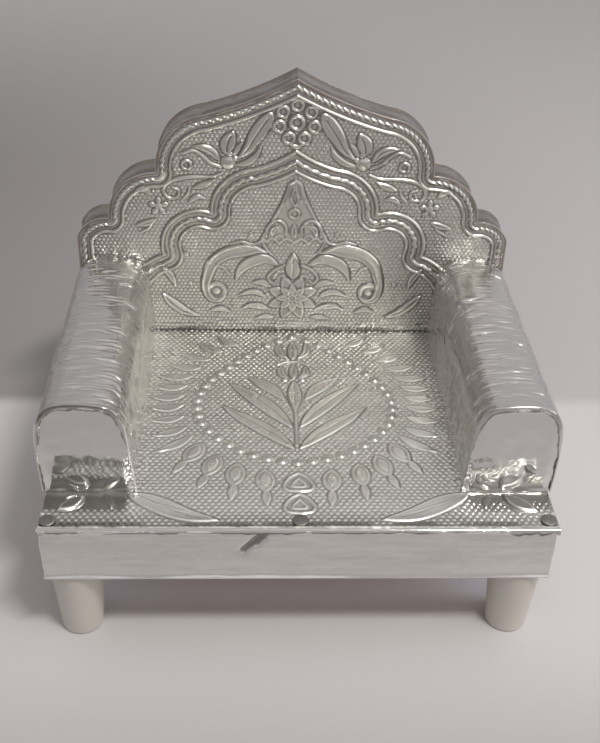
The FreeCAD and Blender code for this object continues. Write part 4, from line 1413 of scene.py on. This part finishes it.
    def base_band(self) -> None:
        """Build the dented strip round the board, turned in under it."""
        corner = self.band_corner
        x, front = HALF_WIDE, FRONT_Y
        turn = np.linspace(0, QUARTER, 7)
        left = [(-x + corner - corner * math.cos(a), front + corner - corner * math.sin(a)) for a in turn]
        right = [(x - corner + corner * math.sin(a), front + corner - corner * math.cos(a)) for a in turn]
        path = even_spots(np.array([(-x, BACK_Y), *left, *right, (x, BACK_Y)]), self.band_step)
        high = BOARD_TOP_Z - UNDER_Z
        section = [(-0.28, high), (0.0, high)] + [(0.0, level) for level in np.linspace(high, corner, 36)[1:]]
        section += [(-corner + corner * math.cos(a), corner - corner * math.sin(a)) for a in turn[1:]]
        section += [(out, 0.0) for out in (-1.4, -2.6, -3.8, -4.9)] + [(-5.0, 0.25)]
        shape = np.array(section)
        run = np.arange(len(path))[:, None] * self.band_step
        level = shape[None, :, 1]
        free = smooth((high - level) / 2.2) * smooth(level / 1.5)
        dent = 0.42 * (1 + ripple(run / 17, level / 12, 91)) + 0.14 * crumple(run / 9, level / 6, seed=92)
        dent = dent + 0.08 * crumple(run / 26, level / 2.4, seed=95)
        edge = 0.22 * (1 + ripple(run / 6, level / 30, 97)) * smooth((high - level - 1.5) / -1.2 + 1)
        spots = swept(path, section, -free * dent - 0.5 * edge * (shape[None, :, 0] > -0.1))
        crease = self.crease(spots)
        spots[..., 1] += 0.85 * crease
        # Painted shade in the crease and in a line under the lip's overhang
        under_lip_shade = 0.95 * round_off((high - 1.7 - level) / 1.1)
        marks = 1.5 * crease + under_lip_shade * smooth(0.35 + 1.3 * ripple(run / 8.0, level / 9.0, 98))
        places = np.dstack([np.clip(spots[..., 0], -x, x), spots[..., 1], UNDER_Z + spots[..., 2]])
        piece = grid_piece("base_band_dented", places, depth=marks)
        self.paint.settle(piece, PLAIN, Slot.PLAIN, "base_band")

    def crease(self, spots: np.ndarray) -> np.ndarray:
        """Find the one deep crease below the front edge, left of the middle.

        Args:
            spots: places on the band.

        Returns:
            How much of the crease's depth each place has, from 0 to 1.
        """
        first, last = np.array(self.crease_ends)
        step = last - first
        off_x, off_z = spots[..., 0] - first[0], spots[..., 2] - first[1]
        share = np.clip((off_x * step[0] + off_z * step[1]) / float(step @ step), 0.0, 1.0)
        gap = np.hypot(off_x - share * step[0], off_z - share * step[1])
        ragged = 1.0 + 0.5 * ripple(off_x / 2.2, off_z / 2.2, 99)
        return np.where(spots[..., 1] < FRONT_Y + 3, np.exp(-(gap * ragged / 1.2) ** 2), 0.0)

    def build(self) -> None:
        """Build the seat's sheets and its board."""
        self.embossed_sheet()
        self.front_lip()
        self.base_band()
        keep = [(1.7 - HALF_WIDE, HALF_WIDE - 1.7), (FRONT_Y + 1.7, BACK_Y),
                (UNDER_Z + 0.3, BOARD_TOP_Z - 0.1)]
        self.paint.board("seat_board_planed", "seat_board", keep)


# Arms

@dataclass
class Arm:
    """One arm: a sheet drawn round the block by hand, and a polished end."""

    paint: Paint
    side: Side
    outer: float = -75.85
    wide: float = 27.9
    high: float = 31.4
    front: float = -42.85
    hem: float = 1.5
    step: float = 0.4
    steps_long: int = 400
    crease_count: int = 150
    crease_most: float = 0.7

    def pick(self, left: Any, right: Any) -> Any:
        """The value that belongs to this arm's side."""
        return left if self.side is Side.LEFT else right

    def section(self) -> np.ndarray:
        """Draw the section of a left arm.

        Returns:
            Points (x, z) from the inner foot over the top to the outer foot.
        """
        def spot(share: Spot) -> Spot:
            """One share as a place."""
            return self.outer + self.wide * share[0], SEAT_Z + self.high * share[1]

        return even_spots(share_spots(ARM_SHARES, spot, 0.2)[::-1], self.step)

    def node(self, stem: str) -> str:
        """Name of this arm's CAD node that starts with some words."""
        return f"{stem}_{self.side.name.lower()}"

    def sheet(self, name: str, spots: np.ndarray, marks: np.ndarray | None = None) -> bpy.types.Object:
        """Make a sheet of this arm.

        Args:
            name: the piece's name.
            spots: its places as a left arm.
            marks: a value for each place that the finish darkens by as painted shade: how deep it lies, or
                more where shade is painted.

        Returns:
            The piece.
        """
        turned = spots * (-self.side.value, 1, 1)
        return grid_piece(name, turned, depth=marks, flip=self.side is Side.RIGHT)

    def creases(self, run: np.ndarray, y: np.ndarray, seed: int) -> np.ndarray:
        """Draw short sharp creases that run across the top, most of them near its inner side.

        Args:
            run: distance round the section, from the inner foot.
            y: place along the arm.
            seed: the draw.

        Returns:
            Depths in millimetres.
        """
        draw = np.random.default_rng(seed)
        total = np.zeros(np.broadcast(run, y).shape)
        for _ in range(self.crease_count):
            at_run = 22.0 + 34.0 * draw.uniform() ** 1.4
            at_y = draw.uniform(self.front + 1.5, BACK_Y - 4.0)
            long, wide = draw.uniform(1.5, 7.0), draw.uniform(0.32, 0.5)
            off = y - at_y - draw.normal(0.0, 0.10) * (run - at_run)
            deep = draw.uniform(0.14, 0.40)
            total += deep * np.exp(-(off / wide) ** 2) * round_off((run - at_run) / long)
        return np.minimum(total, self.crease_most)

    def wrinkles(self, run: np.ndarray, y: np.ndarray, whole: float) -> np.ndarray:
        """How far the wrapped sheet sinks towards the block.

        Args:
            run: distance round the section, from the inner foot.
            y: place along the arm.
            whole: length of the section.

        Returns:
            Depths in millimetres, never below zero.
        """
        seed = self.pick(101, 131)
        slant = y + 0.10 * run + 0.8 * ripple(run / 14, y / 20, seed)
        zone = smooth(0.55 + 0.9 * ripple(run / 26, y / 15, seed + 1))
        fine = (0.07 + 0.13 * zone) * np.abs(ripple(slant / 1.15, run / 15, seed + 2))
        broad = 0.22 * (1 + ripple(slant / 7, run / 30, seed + 3))
        inner = smooth((25.0 - run) / 6.0)
        crushed = 0.75 * inner * crumple(y / 9.0, run / 8.0, seed + 4, 2)
        pinch = 0.40 * inner * smooth((4.0 - run) / 4.0) * (1 + ripple(y / 3.2, run / 9, seed + 7))
        rear = 0.7 * smooth((y - BACK_Y + 9.0) / 6.0) * crumple(run / 5.0, y / 4.0, seed + 8)
        soft = 0.10 * crumple(run / 11, y / 9, seed + 9)
        off = (slant - self.pick(-14.0, 12.0)) / 0.7
        gash = 0.45 * np.exp(-off ** 2) * smooth((run - 44) / 4) * smooth((66 - run) / 6)
        sharp = self.creases(run, y, seed + 11)
        outer_foot = smooth((whole - run) / 3.0)
        return (fine + broad * 0.6 + soft + gash + sharp) * (0.4 + 0.6 * outer_foot) + crushed + pinch + rear

    def cover(self) -> None:
        """Build the wrapped sheet, folded over the front end as a ragged hem."""
        path = self.section()
        whole = len(path) * self.step
        run = np.arange(len(path))[:, None] * self.step
        flat = np.zeros_like(run)
        seed = self.pick(151, 161)
        top = smooth((run - 16.0) / 8.0) * smooth((whole - 12.0 - run) / 8.0)
        ragged = ripple(run / 2.4, flat, seed) + 0.6 * ripple(run / 0.9, flat + 7, seed + 1)
        radius = 0.42 + 0.55 * top + self.pick(0.12, 0.30) * top * ripple(run / 2.8, flat, seed + 3)
        hem = 0.62 + (self.hem - 0.45) * top + 0.24 * ragged
        proud = 0.19 + 0.14 * ripple(run / 2.3, flat + 3, seed + 2)
        rows = [(0.14 - hem, flat + 0.25), (-hem, 0.03 - proud), (-hem * 0.92, -proud),
                (-0.5 * (hem + radius), 0.04 - proud * 0.7)]
        rows += [(forward - radius, deep) for forward, deep in quarter(radius)]
        shares = np.arange(1, self.steps_long) / float(self.steps_long)
        rows += [(flat, radius + (BACK_Y - self.front - radius) * share) for share in shares]
        out = np.hstack([row[0] for row in rows])
        deep = np.hstack([row[1] for row in rows])
        y = self.front + deep
        sink = self.wrinkles(run, y, whole) * smooth((deep - 0.45) / 1.4)
        spots = swept(path, [(0.0, 0.0)] * len(rows), out - sink)
        places = np.dstack([spots[..., 0], y, spots[..., 1]])
        places[..., 2] = np.clip(places[..., 2], SEAT_Z - 0.2, SEAT_Z + self.high)
        # Painted shade in the wrinkles and creases, along the hem's free edge and along the fold over the
        # front end, darkest in the middle of the left arm's hem
        marks = hollows(-sink, 1.2)
        middle = smooth((run - 26.0) / 5.0) * smooth((whole - 24.0 - run) / 5.0)
        middle = middle * self.pick(1.0, 0.3)
        marks[:, :4] = np.clip(0.75 + 0.4 * ragged + 0.5 * middle, 0.0, 2.0)
        marks[:, 5:8] = np.maximum(marks[:, 5:8], 0.4 + 1.3 * middle)
        node = self.node("arm_cover")
        piece = self.sheet(f"{node}_wrapped", places, marks)
        self.paint.settle(piece, CRINKLED, Slot.CRINKLED, node)

    def end_sheet(self) -> None:
        """Build the polished sheet on the front end, with soft dents."""
        path = self.section()
        ridge = int(np.argmax(path[:, 1]))
        shares = np.linspace(0.0, 1.0, 84)
        levels = SEAT_Z + 0.02 + (path[ridge, 1] - SEAT_Z - 0.37) * np.sin(shares * math.pi / 2)
        inner = np.interp(levels, path[:ridge, 1], path[:ridge, 0]) - 0.35
        outer = np.interp(levels, path[:ridge:-1, 1], path[:ridge:-1, 0]) + 0.35
        across = np.linspace(0.0, 1.0, 70)
        spread = outer[:, None] + np.maximum(inner - outer, 0.02)[:, None] * across[None, :]
        up = np.broadcast_to(levels[:, None], spread.shape)
        seed = self.pick(171, 181)
        wave = 0.10 * ripple(spread / 9, up / 7, seed) + 0.04 * ripple(spread / 3.2, up / 3.0, seed + 1)
        low = self.pick(0.30, 0.50) * smooth((SEAT_Z + 12.0 - up) / 6.0)
        ding = 0.10 * crumple(spread / 7, up / 8, seed + 2) + low * crumple(spread / 9, up / 6, seed + 5, 2)
        free = smooth(across * 8) * smooth((1 - across) * 8) * smooth((levels[-1] - levels) / 3)[:, None]
        y = self.front + 0.12 + (wave - 0.5 * ding) * free + 0.28 * (1 - free)
        y -= 0.20 * (1.3 + ripple(spread / 2.6, up, seed + 7)) * np.exp(-((up - SEAT_Z - 0.35) / 0.4) ** 2)
        node = self.node("arm_front")
        piece = self.sheet(f"{node}_polished", np.dstack([spread, y, up]))
        self.paint.settle(piece, MIRROR, Slot.PLAIN, node)

    def build(self) -> None:
        """Build the arm's sheets and its block."""
        self.cover()
        self.end_sheet()
        outer, inner = self.outer + 1.0, self.outer + self.wide - 2.0
        keep = [self.pick((outer, inner), (-inner, -outer)), (self.front + 1.0, BACK_Y - 0.2),
                (SEAT_Z - 0.2, SEAT_Z + self.high - 1.4)]
        node = self.node("arm_block")
        self.paint.board(f"{node}_planed", node, keep)


# Legs and fixings

@dataclass
class Legs:
    """Four moulded legs with a round recess below."""

    paint: Paint
    high: float = 26.0
    top: float = 8.2
    foot: float = 6.4
    bevel: float = 0.8
    recess: float = 3.4
    recess_deep: float = 15.0
    x: float = 66.5
    inset: float = 9.0
    flats: int = 72

    def build(self) -> None:
        """Build the front pair and the rear pair."""
        deep, wide, bevel = self.recess_deep, self.recess, self.bevel
        ease = [(self.foot - bevel + out, up) for out, up in quarter(bevel)]
        taper = [(self.foot + (self.top - self.foot) * share, bevel + (self.high - bevel) * share)
                 for share in np.linspace(0, 1, 14)[1:-1]]
        section = [(0.0, deep), (1.5, deep), (wide - 0.1, deep), (wide, deep - 0.2), (wide, 0.3),
                   (wide + 0.2, 0.0), *ease, *taper, (self.top - 0.02, self.high - 0.2),
                   (self.top - 0.25, self.high), (0.0, self.high)]
        for name, y in (("legs_front", FRONT_Y + self.inset), ("legs_rear", BACK_Y - self.inset)):
            places = [(side.value * self.x, y, 0.0) for side in Side]
            piece = turned_piece(f"{name}_moulded", section, places, self.flats)
            self.paint.settle(piece, PLASTIC, Slot.PLASTIC, name)


@dataclass
class Nails:
    """Nails on the front edge and through the backrest, and the screws from below."""

    paint: Paint
    front_radius: float = 2.4
    front_long: float = 13.0
    rear_radius: float = 2.6
    rear_long: float = 30.0
    shank: float = 1.0
    flats: int = 40

    REAR_PLACES = [(-48.0, 35.8), (0.0, 35.8), (48.0, 35.8), (-61.9, 65.6), (61.9, 65.6)]

    def head(self, radius: float, high: float, long: float) -> list[Spot]:
        """Draw the section of a nail with a low domed head.

        Args:
            radius: the head's radius.
            high: the head's height.
            long: the shank's length.

        Returns:
            Points (radius, height) from the tip to the crown.
        """
        rim = [(radius - 0.12, 0.0), (radius, 0.12), (radius, high * 0.45)]
        dome = [(radius * math.cos(a), high * (0.45 + 0.55 * math.sin(a)))
                for a in np.linspace(0.25, 1.45, 7)]
        return [(0.0, -long), (self.shank * 0.4, 0.9 - long), (self.shank, 1.8 - long), (self.shank, 0.0),
                *rim, *dome, (0.0, high)]

    def build(self) -> None:
        """Build the nails and dress the screws."""
        places = [(x, FRONT_Y + NAIL_INSET, SEAT_Z) for x in FRONT_NAILS_X]
        section = self.head(self.front_radius, 0.6, self.front_long)
        piece = turned_piece("front_nails_domed", section, places, self.flats)
        self.paint.settle(piece, STEEL, Slot.STEEL, "front_nails")
        places = [(x, REAR_Y, z) for x, z in self.REAR_PLACES]
        section = self.head(self.rear_radius, 0.8, self.rear_long)
        back = Matrix.Rotation(-QUARTER, 3, "X")
        piece = turned_piece("rear_nails_domed", section, places, self.flats, back)
        self.paint.settle(piece, STEEL, Slot.STEEL, "rear_nails")
        for node in ("leg_screws", "arm_screws"):
            self.paint.dress(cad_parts[node], STEEL)


# Studio

@dataclass(frozen=True)
class Lamp:
    """A soft rectangular lamp: where it hangs, its width and height in metres, its watts and colour."""

    name: str
    place: tuple[float, float, float]
    size: Spot
    power: float
    colour: str


@dataclass
class Studio:
    """Pale paper floor, a plain backdrop, soft lamps and the camera."""

    focal_px: float = 1058.4
    image_high_px: int = 743
    film_mm: float = 36.0
    camera_mm: tuple[float, float, float] = (-13.9, -283.45, 251.9)
    yaw: float = -0.0534
    pitch: float = 0.5949
    roll: float = -0.0353
    floor_reach: float = 2.5
    aim: tuple[float, float, float] = (0.0, 0.0, 0.07)
    lamps: tuple[Lamp, ...] = (Lamp("key", (0.32, -0.42, 0.98), (0.24, 0.08), 5.7, "#FFFDF8"),
                               Lamp("fill", (0.95, -0.2, 0.55), (0.5, 0.8), 2.1, "#FFFFFF"))

    def camera(self) -> None:
        """Stand the camera where the photographer stood."""
        lens = bpy.data.cameras.new("camera")
        lens.sensor_fit = "VERTICAL"
        lens.sensor_height = self.film_mm
        lens.lens = self.focal_px / self.image_high_px * lens.sensor_height
        lens.clip_start = 0.01
        spin = Matrix.Rotation(self.yaw, 3, "Z")
        ahead = spin @ Vector((0.0, math.cos(self.pitch), -math.sin(self.pitch)))
        right = spin @ Vector((1.0, 0.0, 0.0))
        down = ahead.cross(right)
        across = right * math.cos(self.roll) + down * math.sin(self.roll)
        below = down * math.cos(self.roll) - right * math.sin(self.roll)
        axes = Matrix((across, -below, -ahead)).transposed()
        stand = linked("camera", lens)
        stand.matrix_world = Matrix.Translation(Vector(self.camera_mm) * MM) @ axes.to_4x4()
        bpy.context.scene.camera = stand

    def hang(self, lamp: Lamp) -> None:
        """Hang one lamp that points at the throne.

        Args:
            lamp: the lamp.
        """
        light = bpy.data.lights.new(lamp.name, "AREA")
        light.shape = "RECTANGLE"
        light.size, light.size_y = lamp.size
        light.energy = lamp.power
        light.color = linear(lamp.colour)[:3]
        hung = linked(lamp.name, light)
        hung.location = lamp.place
        hung.rotation_euler = (Vector(self.aim) - Vector(lamp.place)).to_track_quat("-Z", "Y").to_euler()

    def paper(self, tree: bpy.types.NodeTree, place: Socket) -> dict[str, Any]:
        """Add the nodes of matt paper, with light and shade painted on: paler beneath the throne where its
        shadow falls, darker towards the front and behind it to the left.

        Args:
            tree: the node tree.
            place: the place on the floor.

        Returns:
            The shader's sockets.
        """
        axes = add_node(tree, "ShaderNodeSeparateXYZ", Vector=place).outputs
        x, y = axes["X"], axes["Y"]
        aside = add_node(tree, "ShaderNodeMath", {"operation": "ABSOLUTE"}, _0=x).outputs["Value"]
        beneath, behind, close, away, left, rear = [
            add_node(tree, "ShaderNodeMapRange", EASED, Value=value, From_Min=first,
                     From_Max=last).outputs["Result"]
            for value, first, last in ((aside, 0.078, 0.066), (y, -0.048, -0.038), (y, -0.05, -0.14),
                                       (y, 0.25, 0.75), (x, 0.22, -0.22), (y, 0.062, 0.072))]
        sheltered = add_node(tree, "ShaderNodeMath", TIMES, _0=beneath, _1=behind).outputs["Value"]
        # Painted shade: the paper darkens towards the front
        near = add_node(tree, "ShaderNodeMix", COLOURS, Factor=close, _6=linear("#C9C5C6"),
                        _7=linear("#A39FA0")).outputs[2]
        # Painted light: the paper is paler and bluer beneath the throne, where its shadow falls
        near = add_node(tree, "ShaderNodeMix", COLOURS, Factor=sheltered, _6=near,
                        _7=linear("#E6E5F3")).outputs[2]
        # Painted shadow: darker beside the throne to its left, paler farther back, and lighter on the right,
        # as if lit from there
        shade = add_node(tree, "ShaderNodeMix", COLOURS, Factor=away, _6=linear("#8B8787"),
                         _7=linear("#BEBABB")).outputs[2]
        far = add_node(tree, "ShaderNodeMix", COLOURS, Factor=left, _6=linear("#BCB8B9"),
                       _7=shade).outputs[2]
        tone = add_node(tree, "ShaderNodeMix", COLOURS, Factor=rear, _6=near, _7=far).outputs[2]
        grain = add_node(tree, "ShaderNodeTexNoise", Vector=place, Scale=grain_scale(0.9),
                         Detail=2.0).outputs["Fac"]
        normal = add_node(tree, "ShaderNodeBump", Height=grain, Distance=0.02 * MM).outputs["Normal"]
        return {"Base_Color": tone, "Roughness": 0.75, "Normal": normal}

    def floor(self) -> None:
        """Lay the paper."""
        reach = self.floor_reach
        mesh = bpy.data.meshes.new("paper_floor")
        mesh.from_pydata([(-reach, -reach, 0), (reach, -reach, 0), (reach, reach, 0), (-reach, reach, 0)], [],
                         [(0, 1, 2, 3)])
        mesh.materials.append(shaded("paper_matt", self.paper))
        linked("paper_floor", mesh)

    def room(self) -> None:
        """Give the room a plain level: bright overhead, dimmer in front above eye level and to the left."""
        world = bpy.data.worlds.new("room")
        tree = clean_tree(world)
        way = add_node(tree, "ShaderNodeTexCoord").outputs["Generated"]
        axes = add_node(tree, "ShaderNodeSeparateXYZ", Vector=way).outputs
        front, above, low, overhead, right, left = [
            add_node(tree, "ShaderNodeMapRange", EASED, Value=axes[axis], From_Min=first, From_Max=last,
                     To_Min=least, To_Max=most).outputs["Result"]
            for axis, first, last, least, most in (
                ("Y", 0.1, -0.8, 0.0, 1.0), ("Z", 0.08, 0.34, 0.0, 1.0), ("Z", 0.52, 0.26, 0.0, 1.0),
                ("Z", 0.5, 0.95, 0.0, 1.0), ("X", 0.0, 0.35, 1.0, 0.25), ("X", 0.4, -0.8, 0.0, 0.5))]
        high = add_node(tree, "ShaderNodeMath", TIMES, _0=right, _1=above).outputs["Value"]
        dim = add_node(tree, "ShaderNodeMath", TIMES, _0=front, _1=high).outputs["Value"]
        low_front = add_node(tree, "ShaderNodeMath", TIMES, _0=front, _1=low).outputs["Value"]
        tone = linear("#BEBCBE")
        for share, colour in ((dim, "#706967"), (low_front, "#F2EEF2"), (overhead, "#DCDAD8"),
                              (left, "#7B7777")):
            tone = add_node(tree, "ShaderNodeMix", COLOURS, Factor=share, _6=tone,
                            _7=linear(colour)).outputs[2]
        ground = add_node(tree, "ShaderNodeBackground", Color=tone, Strength=1.0)
        add_node(tree, "ShaderNodeOutputWorld", Surface=ground.outputs["Background"])
        bpy.context.scene.world = world

    def build(self) -> None:
        """Set the whole studio."""
        self.camera()
        self.floor()
        self.room()
        for lamp in self.lamps:
            self.hang(lamp)
        bpy.context.scene.view_settings.view_transform = "Standard"


def main() -> None:
    """Build every piece in order."""
    logging.basicConfig(level=logging.INFO, format="%(message)s")
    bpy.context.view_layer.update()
    Studio().build()
    paint = Paint()
    Backrest(paint).build()
    Seat(paint).build()
    for side in Side:
        Arm(paint, side).build()
    Legs(paint).build()
    Nails(paint).build()


if __name__ == "__main__":
    main()
